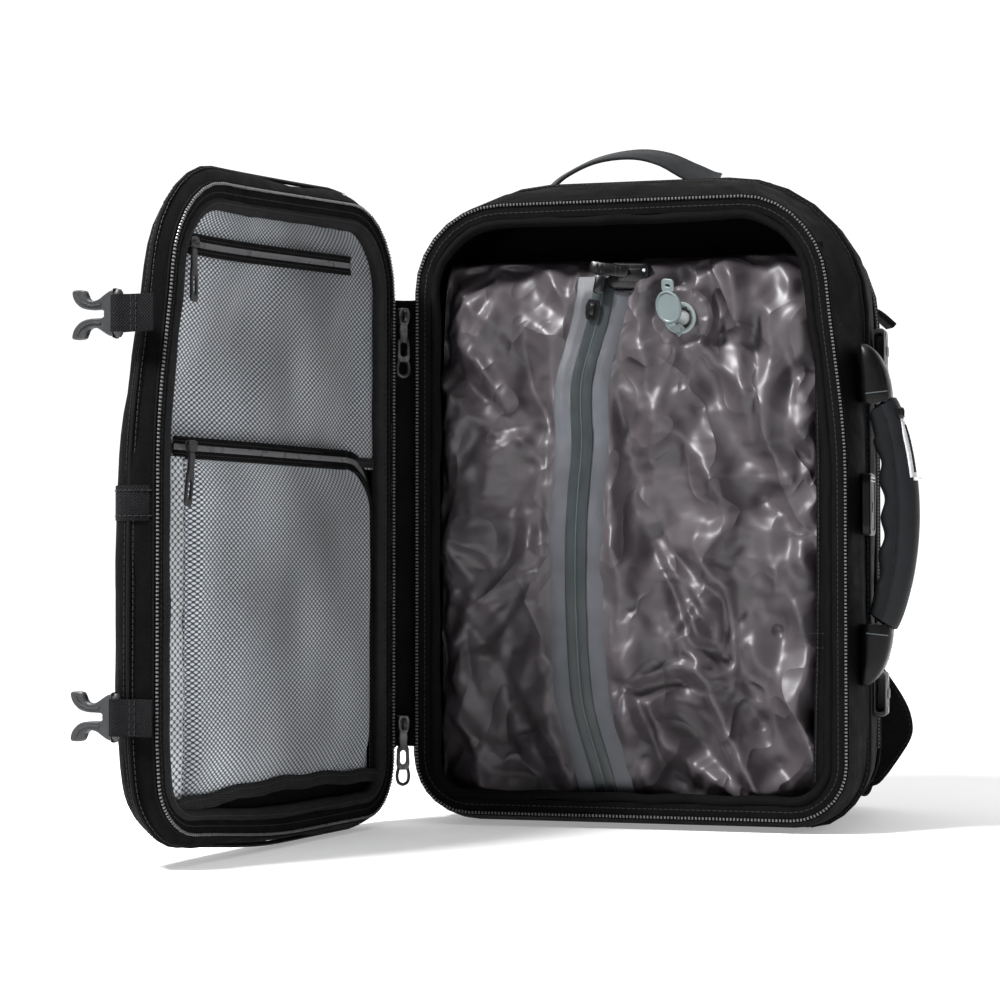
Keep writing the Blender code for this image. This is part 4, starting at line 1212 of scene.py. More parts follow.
def build_lid_shell():
    depths = [*np.linspace(0, LID_DEPTH - LID_ROUND, 8)]
    depths += [LID_DEPTH - LID_ROUND + LID_ROUND * sin(radians(a))
               for a in (12, 24, 36, 48, 60, 72, 82, 90)]
    rows = []
    for away in depths:
        row = lid_ring(LID_RIM - away)
        soft = ripple(row, 0.13, 0.0016, 71) + ripple(row * (1, 1.6, 1), 0.045, 0.0007, 72)
        row += edge_out(row) * (soft * step(away, 0.002, 0.014))[:, None]
        rows.append(row)
    last = rows[-1]
    centre = last.mean(0)
    for share in (0.93, 0.84, 0.72, 0.58, 0.44, 0.3, 0.16, 0.04):
        row = centre + (last - centre) * share
        row[:, 1] -= LID_BULGE * (1 - share**2) + ripple(row, 0.1, 0.001, 73)
        rows.append(row)
    pile = Pile().grid(lean(slack(rows), True), closed=True)
    pile.build("lid_shell_fabric", "lid", [M["lid_shell"]], ["lid_shell"], "nylon_shell", lid=True,
               edge=65)

    trim = Pile()
    away = 0.0175
    path = lean(slack(lid_ring(LID_RIM - away, -0.0008)), True)
    trim.rod(path, 0.0017, edge_out(path), closed=True)
    for shift in (-0.004, 0.004):
        seam = lean(slack(lid_ring(LID_RIM - away - shift, -0.0012)), True)
        trim.stitches(seam, edge_out(seam), slot=1, closed=True)
    face = LID_FACE - LID_BULGE
    z = 0.246
    side = [(0.1725, LID_RIM - 0.002, z), (0.1765, LID_RIM - 0.01, z), (0.1775, LID_RIM - 0.018, z),
            (0.1745, LID_RIM - 0.029, z), (0.164, LID_RIM - 0.039, z), (0.15, LID_FACE - 0.002, z),
            (0.1, face + 0.001, z), (0.0, face - 0.0016, z), (-0.1, face + 0.001, z),
            (-0.15, LID_FACE - 0.002, z)]
    path = slack(smooth_path(side, 60))
    ups = path - np.array((0.0, LID_RIM + 0.045, z))
    trim.band(path, 0.024, 0.0018, ups, slot=2)
    for hand in (-0.0085, 0.0085):
        trim.stitches(path + (0, 0, hand), nearest_rows(ups, path, path), slot=1, lift=0.0012)
    loop = lean(slack(lid_ring(LID_FACE, 0.014)), True)
    loop[:, 1] -= 0.003
    trim.rod(loop, 0.0015, (0, -1, 0), closed=True)
    line = np.array([(x, face + 0.0002 + 0.35 * x * x * 0.2, 0.372)
                     for x in np.linspace(-0.125, 0.118, 30)])
    zip_strip(trim, slack(line), (0, -1, 0), 0.022, tape=3, teeth=4, pitch=0.003)
    materials = [M["piping"], M["thread"], M["webbing"], M["tape"], M["pull"]]
    trim.build("lid_trim", "lid", materials, slot="nylon_shell", lid=True)


def build_lid_inside():
    """The lid's half of the main zip, its binding and its lining."""
    build_zip_half("lid_zip", "lid_zip_tape", "lid", LID_TAPE_BACK - 0.0034, 1, True)
    rows = []
    for inset, y in ((0.013, -0.104), (0.015, -0.1018), (0.018, -0.1016), (0.0212, -0.1036),
                     (0.0222, -0.107),
                     (0.0195, -0.113)):
        row = ring(RIM, y, inset)
        row += edge_out(row) * ripple(row, 0.05, 0.0008, 81)[:, None]
        rows.append(row)
    pile = Pile().grid(lean(rows, True), closed=True)
    seam = lean(ring(RIM, -0.1014, 0.0166), True)
    pile.stitches(seam, (0, 1, 0), slot=1, closed=True)
    pile.build("lid_binding", "lid", [M["binding"], M["thread"]], slot="nylon_shell", lid=True,
               edge=70)
    rows = [lid_ring(y, 0.006) for y in np.linspace(-0.107, -0.118, 5)]
    last = rows[-1]
    centre = last.mean(0)
    rows += [centre + (last - centre) * share for share in (0.9, 0.7, 0.5, 0.3, 0.1)]
    Pile().grid(lean(rows, True), closed=True).build("lid_lining_fabric", "lid", [M["lining"]],
                                                     ["lid_lining"],
                                                    "nylon_shell", lid=True, edge=70)


MESH_Y = -0.112
POCKET_TOP, POCKET_FOOT = 0.2785, 0.044
POCKET_HINGE, POCKET_FREE = -0.144, 0.124
POCKET_CORNER = 0.034


def inside_x(z, inset):
    """The half width of the lid's opening at a height."""
    half = RIM.half_width - inset
    high, radius = RIM.high - inset, RIM.high_radius - inset
    low, foot = RIM.low + inset, RIM.low_radius - inset
    over = np.clip(z - (high - radius), 0, radius)
    under = np.clip((low + foot) - z, 0, foot)
    return half - (radius - np.sqrt(radius**2 - over**2)) - (foot - np.sqrt(foot**2 - under**2))


def mesh_panel(heights, columns, inset, fold, seed):
    """Rows of points of a mesh panel across the lid, in broad diagonal folds."""
    rows = []
    for z in heights:
        half = inside_x(z, inset)
        row = np.column_stack((np.linspace(-half, half, columns), np.full(columns, MESH_Y),
                               np.full(columns, z)))
        edge = np.minimum(np.abs(half - np.abs(row[:, 0])), 0.03) / 0.03
        row[:, 1] += (ripple(row * (1, 1, 0.6) + np.outer(row[:, 2], (0.5, 0, 0)), 0.15, fold, seed,
                             3)) * edge
        rows.append(row)
    return np.array(rows)


def build_upper_pocket():
    """The flat mesh over the lid's upper half, and the zip along its top."""
    rows = mesh_panel(np.linspace(0.472, 0.279, 56), 76, 0.017, 0.003, 91)
    pile = Pile().grid(lean(rows, True))
    hem = lean(mesh_panel([0.284] * 2, 60, 0.017, 0.003, 91)[0] + (0, 0.0012, 0), True)
    pile.band(hem, 0.0075, 0.0014, (0, 1, 0), slot=1)
    pile.stitches(hem, (0, 1, 0), slot=2, lift=0.001)
    item = pile.build("mesh_pocket_upper_net", "lid", [M["net"], M["binding"], M["thread"]],
                      ["mesh_pocket_upper"],
                      "grey_mesh", lid=True, edge=80)

    line = np.array([(x, MESH_Y + 0.004, 0.4405) for x in np.linspace(-0.108, 0.152, 60)])
    pile = Pile()
    line = lean(line, True)
    zip_strip(pile, line, (0, 1, 0), 0.012)
    for hand in (-1, 1):
        pile.stitches(line + (0, 0.0006, hand * 0.0044), (0, 1, 0), 0.0036, (0.0024, 0.0005,
                                                                             0.0005),
                      2)
    pile.rod(line + (0, 0.0006, 0.0066), 0.0009, (0, 1, 0), slot=3)
    pile.rod(line + (0, 0.0006, -0.0066), 0.0009, (0, 1, 0), slot=3)
    pile.build("pocket_zip_upper_strip", "lid", [M["tape"], M["teeth"], M["thread"], M["piping"]],
               ["pocket_zip_upper"], "bag_zip", lid=True)


def pocket_edge(z):
    """The lower pocket's hinge-side edge at a height, round at its top corner."""
    over = np.clip(np.asarray(z, float) - (POCKET_TOP - POCKET_CORNER), 0, POCKET_CORNER)
    return POCKET_HINGE + POCKET_CORNER - np.sqrt(POCKET_CORNER**2 - over**2)


def pocket_face(x, z):
    """How far the lower pocket's front stands out of the lid's lining."""
    rise = step(x, pocket_edge(z), pocket_edge(z) + 0.016) * (1 - step(x, POCKET_FREE - 0.01,
                                                                       POCKET_FREE + 0.004))
    rise = rise * (1 - 0.25 * step(z, POCKET_TOP - 0.03, POCKET_TOP)) * (0.45 + 0.55 * step(z,
        POCKET_FOOT, 0.075))
    place = np.stack((x + 0.5 * z, x * 0, z * 0.7), -1)
    return MESH_Y + 0.0095 * rise + ripple(place, 0.16, 0.0016, 93, 3) * rise


def build_lower_pocket():
    """The deep mesh pocket: front, larger-holed side, piping, elastic hem and its zip."""
    heights = np.linspace(POCKET_TOP, POCKET_FOOT, 70)
    rows = []
    for z in heights:
        left = float(pocket_edge(z))
        x = np.linspace(left, POCKET_FREE, 80)
        rows.append(np.column_stack((x, pocket_face(x, np.full(80, z)), np.full(80, z))))
    pile = Pile().grid(rows)
    rows = []
    for z in heights:
        far = float(inside_x(z, 0.0185))
        start = pocket_face(np.array([POCKET_FREE]), np.array([z]))[0]
        t = np.linspace(0, 1, 12)
        x = POCKET_FREE + (far - POCKET_FREE) * t
        y = start + (MESH_Y + 0.003 - start) * t**1.5
        rows.append(np.column_stack((x, y, np.full(12, z))))
    rows = np.array(rows)
    rows[..., 1] += ripple(rows * (1, 1, 1.5), 0.05, 0.0007, 94)
    pile.grid(rows, slot=1)
    edge = [(x, pocket_face(np.array([x]), np.array([POCKET_TOP]))[0], POCKET_TOP)
            for x in np.linspace(POCKET_FREE, POCKET_HINGE + POCKET_CORNER, 30)]
    edge += [(float(pocket_edge(z)), MESH_Y + 0.0022, z) for z in heights[1:]]
    edge = even(edge, 120) + (0, 0.001, 0)
    pile.rod(edge, 0.0016, (0, 1, 0), slot=2)
    pile.stitches(edge[30:] + (0.0035, 0.0012, 0), (0, 1, 0), slot=3)
    fold = np.array([(POCKET_FREE, pocket_face(np.array([POCKET_FREE]), np.array([z]))[0], z)
                     for z in heights])
    pile.rod(fold, 0.0008, (0, 1, 0), slot=4)
    item = pile.build("mesh_pocket_lower_net", "lid", [M["net"], M["coarse_net"], M["piping"],
                                                       M["thread"], M["net"]],
                      ["mesh_pocket_lower"], "grey_mesh", lid=True, edge=80)

    line = np.array([(x, pocket_face(np.array([min(x, 0.11)]), np.array([0.2845]))[0] + 0.0012,
                      0.2845)
                     for x in np.linspace(0.149, -0.106, 60)])
    bend = [(POCKET_HINGE + POCKET_CORNER - (POCKET_CORNER + 0.006) * sin(a), line[-1][1]
             - 0.004 * a,
             POCKET_TOP - POCKET_CORNER + (POCKET_CORNER + 0.006) * cos(a))
             for a in np.linspace(0.05, 1.2, 12)]
    line = even(np.concatenate((line, bend)), 90)
    pile = Pile()
    zip_strip(pile, line, (0, 1, 0), 0.012)
    for hand in (-1, 1):
        pile.stitches(line[:60] + (0, 0.0006, hand * 0.0044), (0, 1, 0), 0.0036, (0.0024, 0.0005,
                                                                                  0.0005), 2)
    pile.rod(line + (0, 0.0006, 0.0066), 0.0009, (0, 1, 0), slot=3)
    pile.build("pocket_zip_lower_strip", "lid", [M["tape"], M["teeth"], M["thread"], M["piping"]],
               ["pocket_zip_lower"], "bag_zip", lid=True)

    t = np.linspace(0, 1, 70)
    x = POCKET_FREE + 0.018 - (POCKET_FREE - POCKET_HINGE + 0.02) * t
    z = 0.04 + 0.005 * np.sin(pi * t) + 0.0008 * np.sin(9 * pi * t)
    path = np.column_stack((x, MESH_Y + 0.0062 + 0.0006 * np.sin(26 * pi * t), z))
    pile = Pile().band(path, 0.0105, 0.003, (0, 1, 0))
    pile.stitches(path + (0, 0.0016, 0.002), (0, 1, 0), slot=1)
    pile.build("pocket_elastic_hem", "lid", [M["binding"], M["thread"]], ["pocket_elastic"],
               "black_webbing", lid=True)
    rows = mesh_panel(np.linspace(0.04, 0.0245, 8), 60, 0.018, 0.0012, 95)
    Pile().grid(lean(rows, True)).build("lid_foot_lining", "lid", [M["lining"]], slot="nylon_shell",
                                        lid=True, edge=80)


def lean_shift(x, z):
    """How far the slack lid has moved at a place on its lining, in space."""
    spot = np.array((x, MESH_Y, z))
    return LID_OPEN.to_3x3() @ Vector(lean(spot, True) - spot)


def build_pocket_sliders():
    for level, shift in (("upper", lean_shift(0.142, 0.4405)), ("lower", Vector())):
        swing = joint(f"pocket_pull_{level}_swing")
        low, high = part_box(f"pocket_slider_{level}")
        middle = (low + high) / 2
        along = Vector(swing["axis"])
        out = Vector((along.y, -along.x, 0))
        if out.x < 0:
            out = -out
        up = out.cross(along)
        place = Matrix.Translation(middle + shift + out * 0.0018) @ Matrix((-up if up.z < 0 else up,
            along, out)).transposed().to_4x4()
        pile = Pile()
        slider_body(pile, place, 0.01, 0.0085, 0.004)
        pile.build(f"pocket_slider_{level}_moulded", f"pocket_slider_{level}", [M["pull"]],
                   [f"pocket_slider_{level}"],
                   "zip_puller")
        pivot = Vector(swing["pos_m"]) + shift + out * 0.0022
        lean_out = Vector((0, 0, 1)) + along * (0.0 if level == "upper" else 0.16)
        across = lean_out.cross(out)
        pile = Pile()
        low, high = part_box(f"pocket_pull_{level}")
        puller(pile, axes_at(pivot, across, lean_out), high.z - low.z + 0.01, 0.0082, 0.0022)
        pile.build(f"pocket_pull_{level}_moulded", f"pocket_pull_{level}", [M["pull"]],
                   [f"pocket_pull_{level}"],
                   "zip_puller")


build_lid_shell()
build_lid_inside()
build_upper_pocket()
build_lower_pocket()
build_pocket_sliders()


# ---------------------------------------------------------------- buckles

PRONG = ((8.2, 0), (9.0, 2.6), (19, 3.0), (26, 4.6), (31, 8.6), (33.2, 13), (32.6, 16.4),
         (24.4, 16.4), (22, 13.2),
         (20.6, 10.4), (17.2, 9.0), (12.6, 9.8), (8, 12.6), (3.6, 15),
         (0, 15.6))  # millimetres, upper half


BUCKLE_DROP = 0.007  # the slack lid carries its buckles a little low


def build_buckle(level):
    """A side-release plug: two hooked prongs, a centre rib and the bar its webbing goes round."""
    fold = Vector(joint(f"buckle_{level}_fold")["pos_m"])
    along = LID_OPEN.to_3x3() @ Vector((0, -1, 0))
    front = LID_OPEN.to_3x3() @ Vector((1, 0, 0))
    drop = Vector((0, 0, -BUCKLE_DROP))
    bar = fold + along * 0.0235 + front * 0.0006 + drop
    place = axes_at(bar, along, front.cross(along))
    shape = [(u / 1000, v / 1000) for u, v in PRONG]
    shape += [(-0.0005, 0.015), (-0.0005, -0.015)] + [(u, -v) for u, v in shape[:0:-1]]
    pile = Pile()
    smooth = smooth_path(np.column_stack((np.array(shape), np.zeros(len(shape)))), 120,
                         closed=True)[:-1, :2]
    middle = smooth.mean(0)
    turn = np.cross(smooth - middle, np.roll(smooth, -1, 0) - middle).sum()
    plate(pile, place, smooth if turn > 0 else smooth[::-1], 0.0056, bevel=0.0009)
    for hand in (-1, 1):
        rib = [(0.01, hand * 0.0062, 0.003), (0.018, hand * 0.0058, 0.0031), (0.0255, hand * 0.0088,
                                                                              0.003),
               (0.0288, hand * 0.0135, 0.0028)]
        pile.rod(moved(smooth_path(rib, 16), place), 0.0007, np.array(place)[:3, 2], sides=6)
    roll = [(-0.0022, v, 0) for v in np.linspace(-0.016, 0.016, 17)]
    size = [0.55, 0.9] + [1.0] * 13 + [0.9, 0.55]
    pile.rod(moved(roll, place), 0.0036, np.array(place)[:3, 2], sides=14, scale=size)
    pile.build(f"buckle_plug_{level}_moulded", f"buckle_{level}", [M["plastic"]],
               [f"buckle_plug_{level}"],
               "grey_plastic")

    pile = Pile()
    z = np.array((0, 0, 1.0))
    root = np.array(fold + drop) - np.array(along) * 0.006
    for side in (-1, 1):
        path = [root, root + np.array(along) * 0.008 + np.array(front) * side * 0.001,
                root + np.array(along) * 0.0185 + np.array(front) * side * 0.0024,
                np.array(bar) - np.array(along) * 0.0024 + np.array(front) * side * 0.0046,
                np.array(bar) + np.array(along) * 0.0018 + np.array(front) * side * 0.0022]
        pile.band(smooth_path(path, 24), WEBBING, 0.0014, front)
    for reach in (0.006, 0.01):
        row = np.array([np.array(fold + drop) + np.array(along) * reach + np.array(front) * 0.0026
                        + z * v
                        for v in np.linspace(-0.01, 0.01, 7)])
        pile.stitches(row, front, slot=1)
    pile.build(f"buckle_webbing_{level}_strap", f"buckle_{level}", [M["webbing"], M["thread"]],
               [f"buckle_webbing_{level}"], "black_webbing")


def build_socket(level):
    """The side-release socket sewn to the body's side: a flat sleeve with its side windows."""
    low, high = (corner - Vector((0, 0, BUCKLE_DROP))
                 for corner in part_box(f"buckle_socket_{level}"))
    middle = (low + high) / 2
    wide, thick = high.z - low.z, high.x - low.x
    outer = np.array(rounded_box(thick, wide, 0.0032))
    rows = []
    for y, size in ((high.y, 0.8), (high.y - 0.0015, 0.92), (high.y - 0.006, 1.0),
                    (low.y + 0.006, 1.0),
                    (low.y + 0.0008, 0.97), (low.y, 0.93), (low.y + 0.0002, 0.78),
                    (low.y + 0.02, 0.72)):
        section = outer * size
        rows.append(np.column_stack((middle.x + section[:, 0], np.full(len(section), y), middle.z
                                     + section[:, 1])))
    pile = Pile().grid(rows, closed=True, caps=True)
    for hand in (-1, 1):
        window = axes_at((high.x - 0.0008, low.y + 0.012, middle.z + hand * 0.0125), (0, 1, 0),
                         (0, 0, 1))
        swell(pile, window, rounded_box(0.011, 0.0052, 0.0022), ((-0.001, 1), (0.001, 1),
                                                                 (0.0013, 0.9)), slot=1)
    rail = axes_at((high.x - 0.0004, middle.y + 0.003, middle.z), (0, 1, 0), (0, 0, 1))
    swell(pile, rail, rounded_box(0.015, 0.008, 0.003), ((-0.001, 1), (0.0008, 1), (0.0012, 0.92)))
    pile.build(f"buckle_socket_{level}_moulded", "body", [M["plastic"], M["gloss"]],
               [f"buckle_socket_{level}"],
               "grey_plastic")
    low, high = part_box(f"socket_webbing_{level}")
    z = (low.z + high.z) / 2 - BUCKLE_DROP
    path = smooth_path([(middle.x - 0.001, low.y - 0.004, z), (0.1862, low.y + 0.004, z),
                        (0.1846, 0.01, z),
                        (0.1836, high.y, z), (0.1826, high.y + 0.004, z)], 24)
    pile = Pile().band(path, WEBBING, 0.0022, (1, 0, 0))
    for y, slope in ((0.01, 0), (0.022, 0), (0.016, 1), (0.016, -1)):
        row = np.array([(0.1856 if slope == 0 else 0.1854, y + slope * v * 0.55, z + v)
                        for v in np.linspace(-0.01, 0.01, 7)])
        pile.stitches(row, (1, 0, 0), slot=1)
    pile.build(f"socket_webbing_{level}_strap", "body", [M["webbing"], M["thread"]],
               [f"socket_webbing_{level}"],
               "black_webbing")


for level in ("upper", "lower"):
    build_buckle(level)
    build_socket(level)


# ---------------------------------------------------------------- hinge side


def build_gusset():
    """The folded cloth that joins lid to body, and the ends of the main zip beside it."""
    closed_end = LID_OPEN @ Vector((-0.164, LID_TAPE_BACK - 0.004, 0))
    corner = LID_OPEN @ Vector((-0.1735, LID_TAPE_BACK - 0.001, 0))
    path = smooth_path([(-0.16, -0.093, 0), (-0.169, -0.0945, 0), (-0.1765, -0.0915, 0),
                        (-0.185, -0.094, 0),
                        (-0.1895, -0.101, 0), tuple(corner), tuple(closed_end)], 26)
    rows = []
    for z in np.linspace(0.416, 0.06, 100):
        row = path.copy()
        row[:, 2] = z
        slackness = np.sin(pi * np.linspace(0, 1, 26))
        row[:, 0] += 0.0018 * slackness * np.sin(z * 150 + 6 * np.linspace(0, 1,
                                                                           26)) - 0.0015 * slackness
        row[:, 1] += 0.0016 * slackness * np.sin(z * 95)
        rows.append(row)
    pile = Pile().grid(rows)
    for column in (2, 23):
        seam = np.array(rows)[:, column] + (0.0, -0.0008, 0)
        pile.stitches(seam, (0.5, -1, 0), slot=1)
    item = pile.build("hinge_gusset_cloth", "body", [M["gusset"], M["thread"]], ["hinge_gusset"],
                      "nylon_shell",
                      hold=True, edge=80)
    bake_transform(item)


def build_main_slider(level):
    low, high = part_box(f"main_zip_slider_{level}")
    middle = (low + high) / 2
    swing = joint(f"main_pull_{level}_swing")
    across = Vector(swing["axis"])
    out = across.cross(Vector((0, 0, 1)))
    if out.y > 0:
        out = -out
    pile = Pile()
    place = axes_at(middle, Vector((0, 0, 1)).cross(out), (0, 0, 1))
    slider_body(pile, place, 0.0135, 0.01, 0.0062)
    eye = [middle + out * 0.004 + Vector((0, 0, v)) for v in (0.004, 0.001, -0.004)]
    pile.rod(smooth_path([tuple(p + out * b) for p, b in zip(eye, (0, 0.0016, 0))], 8), 0.0008,
             tuple(out))
    pile.build(f"main_zip_slider_{level}_cast", f"main_slider_{level}", [M["metal"]],
               [f"main_zip_slider_{level}"],
               "zip_metal")
    low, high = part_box(f"main_zip_pull_{level}")
    pivot = Vector(swing["pos_m"])
    place = axes_at(pivot + out * 0.0008, Vector((0, 0, 1)).cross(out), (0, 0, 1))
    pile = Pile()
    outer = [(-0.003, 0.0022), (-0.004, -0.004), (-0.003, -0.009), (-0.005, -0.012),
             (-0.0056, -0.025),
             (-0.004, -0.029), (0.004, -0.029), (0.0056, -0.025), (0.005, -0.012), (0.003, -0.009),
             (0.004, -0.004), (0.003, 0.0022)]
    hole = [(x, y - 0.019) for x, y in rounded_box(0.0052, 0.011, 0.0024)]
    plate(pile, place, outer, 0.0026, hole, bevel=0.0006)
    loop = [(-0.0036, -0.027, 0), (-0.005, -0.033, 0), (-0.004, -0.0385, 0), (0, -0.0405, 0),
            (0.004, -0.0385, 0),
            (0.005, -0.033, 0), (0.0036, -0.027, 0)]
    pile.rod(moved(smooth_path(loop, 36), place), 0.0014, tuple(out), slot=1)
    pile.build(f"main_zip_pull_{level}_cast", f"main_pull_{level}", [M["metal"], M["pull"]],
               [f"main_zip_pull_{level}"], "zip_metal")


build_gusset()
for level in ("low", "high"):
    build_main_slider(level)


# ---------------------------------------------------------------- handles


def top_level(x):
    """The height of the body's top at a distance from its middle, just above the cloth."""
    over = np.clip(np.abs(x) - (BODY_WAIST.half_width - BODY_WAIST.high_radius), 0, None)
    drop = BODY_WAIST.high_radius - np.sqrt(BODY_WAIST.high_radius**2 - over**2)
    return BODY_WAIST.high - drop + 0.002


def build_top_handle():
    """A rubber-coated band in two halves that bend at their sewn ends, and the tabs that hold it."""
    arch = smooth_path([(-0.086, -0.03, 0.506), (-0.08, -0.03, 0.5085), (-0.065, -0.03, 0.5205),
                        (-0.038, -0.031, 0.532), (-0.008, -0.031, 0.5355), (0.016, -0.031, 0.531),
                        (0.037, -0.03, 0.5205), (0.051, -0.03, 0.5135), (0.06, -0.03, 0.511)], 61)
    width = 0.02 + 0.008 * step(arch[:, 0], -0.06, 0.06)
    for half, run in (("left", slice(0, 31)), ("right", slice(30, 61))):
        path = arch[run]
        roll = np.column_stack((0 * path[:, 0], -0.3 - 0.4 * step(path[:, 0], -0.06, 0.06),
                                1 + 0 * path[:, 0]))
        _, side, out = frames(path, roll)
        rows = []
        for spot, across, level, wide in zip(path, side, out, width[run]):
            section = pillow(1.0, 0.1)
            rows.append([spot + across * u * wide + level * v * 0.028 for u, v in section])
        pile = Pile().grid(rows, closed=True, caps=True)
        for hand in (-1, 1):
            edge_line = path + side * (hand * (width[run] / 2 - 0.003))[:, None] + out * 0.0013
            pile.stitches(edge_line, (0, 0, 1), 0.004, (0.0026, 0.0005, 0.0004), 1)
        item = pile.build(f"top_handle_{half}", "body", [M["rubber"], M["thread"]],
                          ["top_handle"], "grey_rubber", hold=True)
        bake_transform(item)
    for name, run in (("left", np.linspace(-0.116, -0.08, 18)), ("right", np.linspace(0.05, 0.104,
                                                                                      18))):
        tab = np.column_stack((run, np.full(18, -0.03), top_level(run)))
        pile = Pile().band(tab, 0.027, 0.0026, (0, 0, 1))
        for hand in (-1, 1):
            pile.stitches(tab + (0, hand * 0.0105, 0.0013), (0, 0, 1), slot=1)
        for x in (run[3], run[-4]):
            row = np.array([(x, y, float(np.interp(x, run, tab[:, 2])) + 0.0016)
                            for y in np.linspace(-0.04, -0.02, 6)])
            pile.stitches(row, (0, 0, 1), slot=1)
        pile.build(f"top_handle_tab_{name}", "body", [M["rubber"], M["thread"]], slot="grey_rubber")


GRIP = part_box("side_handle_grip")


def grip_line(t):
    """The side grip's middle and half thickness from its upper end, 0, to its lower end, 1."""
    bow = np.sin(pi * np.clip(t, 0, 1)) ** 0.7
    z = GRIP[1].z + (GRIP[0].z - GRIP[1].z) * np.asarray(t, float)
    return np.column_stack((0.1937 + 0.0155 * bow, np.full(len(z), -0.07),
                            z)), 0.0122 + 0.0018 * bow


def build_side_grip():
    """The moulded grip: dark inner half with finger waves, lighter outer half, parting groove."""
    t = np.linspace(0, 1, 90)
    line, half = grip_line(t)
    _, side, out = frames(line, (1, 0, 0))
    inner, outer = [], []
    groove = {-1: [], 1: []}
    for k in range(len(t)):
        wave = 0.0017 * sin(2 * pi * (t[k] - 0.12) * 5.6) if 0.14 < t[k] < 0.86 else 0.0
        ends = 1 - 0.3 * max(0.0, 1 - min(t[k], 1 - t[k]) / 0.012) ** 2
        facet = 0.75 + 0.25 * cos(2 * pi * (t[k] - 0.2))
        for a_range, keep in ((np.linspace(-pi / 2, pi / 2, 17), outer),
                              (np.linspace(pi / 2, 1.5 * pi, 17), inner)):
            row = []
            for a in a_range:
                c, s = cos(a), sin(a)
                push = abs(c) ** (0.72 if c > 0 else 0.55) * (1 if c > 0 else -1)
                wide = abs(s) ** 0.62 * (1 if s > 0 else -1)
                shift = -wave * max(0.0, -c)
                flat = 1.0 - 0.1 * facet * max(0.0, c) * abs(s) * 2
                row.append(line[k] + out[k] * (push * half[k] * ends * flat + shift)
                           + np.array((0, 1, 0)) * wide * 0.0125 * ends * flat)
            keep.append(row)
        for hand in (-1, 1):
            groove[hand].append(line[k] + np.array((0, hand, 0)) * 0.0122 * ends - out[k] * 0.0012)
    pile = Pile().grid(outer).grid(inner, slot=1)
    for row, order in ((0, 1), (-1, -1)):
        cap = np.array(outer[row][:-1] + inner[row][:-1])
        pile.put(cap, [tuple(range(len(cap)))[::order]], [tuple((p[0], p[1]) for p in cap)], 1)
    for hand in (-1, 1):
        path = np.array(groove[hand][6:-6])
        path[:, 0] -= 0.0035 * np.sin(pi * np.linspace(0, 1, len(path))) - 0.0015
        pile.rod(path, 0.00055, (0, hand, 0), slot=2, sides=6)
    pile.build("side_grip_moulded", "side_grip", [M["rubber"], M["grip_dark"], M["gloss"]],
               ["side_handle_grip"],
               "grey_rubber", edge=50)

    t = np.linspace(0.085, 0.345, 26)
    line, half = grip_line(t)
    out = frames(line, (1, 0, 0))[2]
    path = line + out * (half * 0.88)[:, None] + (0, -0.0062, 0)
    pile = Pile()
    aim = out + np.array((0, -0.75, 0))
    size = 0.55 + 0.45 * step(t, 0.085, 0.17)
    pile.sweep(path, pillow(0.0098, 0.0022), aim, scale=size)
    pile.sweep(path[3:-2] + unit(aim)[3:-2] * 0.0006, pillow(0.003, 0.0018), aim[3:-2], slot=1,
               scale=size[3:-2])
    foot = axes_at(path[-1] + np.array((0.0, -0.0004, -0.0012)), (0.5, -0.6, 0), (0, 0, 1))
    swell(pile, foot, rounded_box(0.0095, 0.0026, 0.0008), ((-0.003, 0.95), (0.001, 1),
                                                            (0.0018, 0.9)))
    tab = axes_at(path[0] + np.array((-0.003, -0.002, 0.004)), (0.6, -0.6, -0.1), (0, 0.1, 1))
    swell(pile, tab, rounded_box(0.0085, 0.009, 0.003), ((-0.003, 1), (0.0008, 1), (0.0016, 0.86)),
          slot=2)
    pile.build("side_handle_trim_bright", "side_grip", [M["chrome"], M["gloss"], M["gloss"]],
               ["side_handle_trim"],
               "chrome", edge=50)


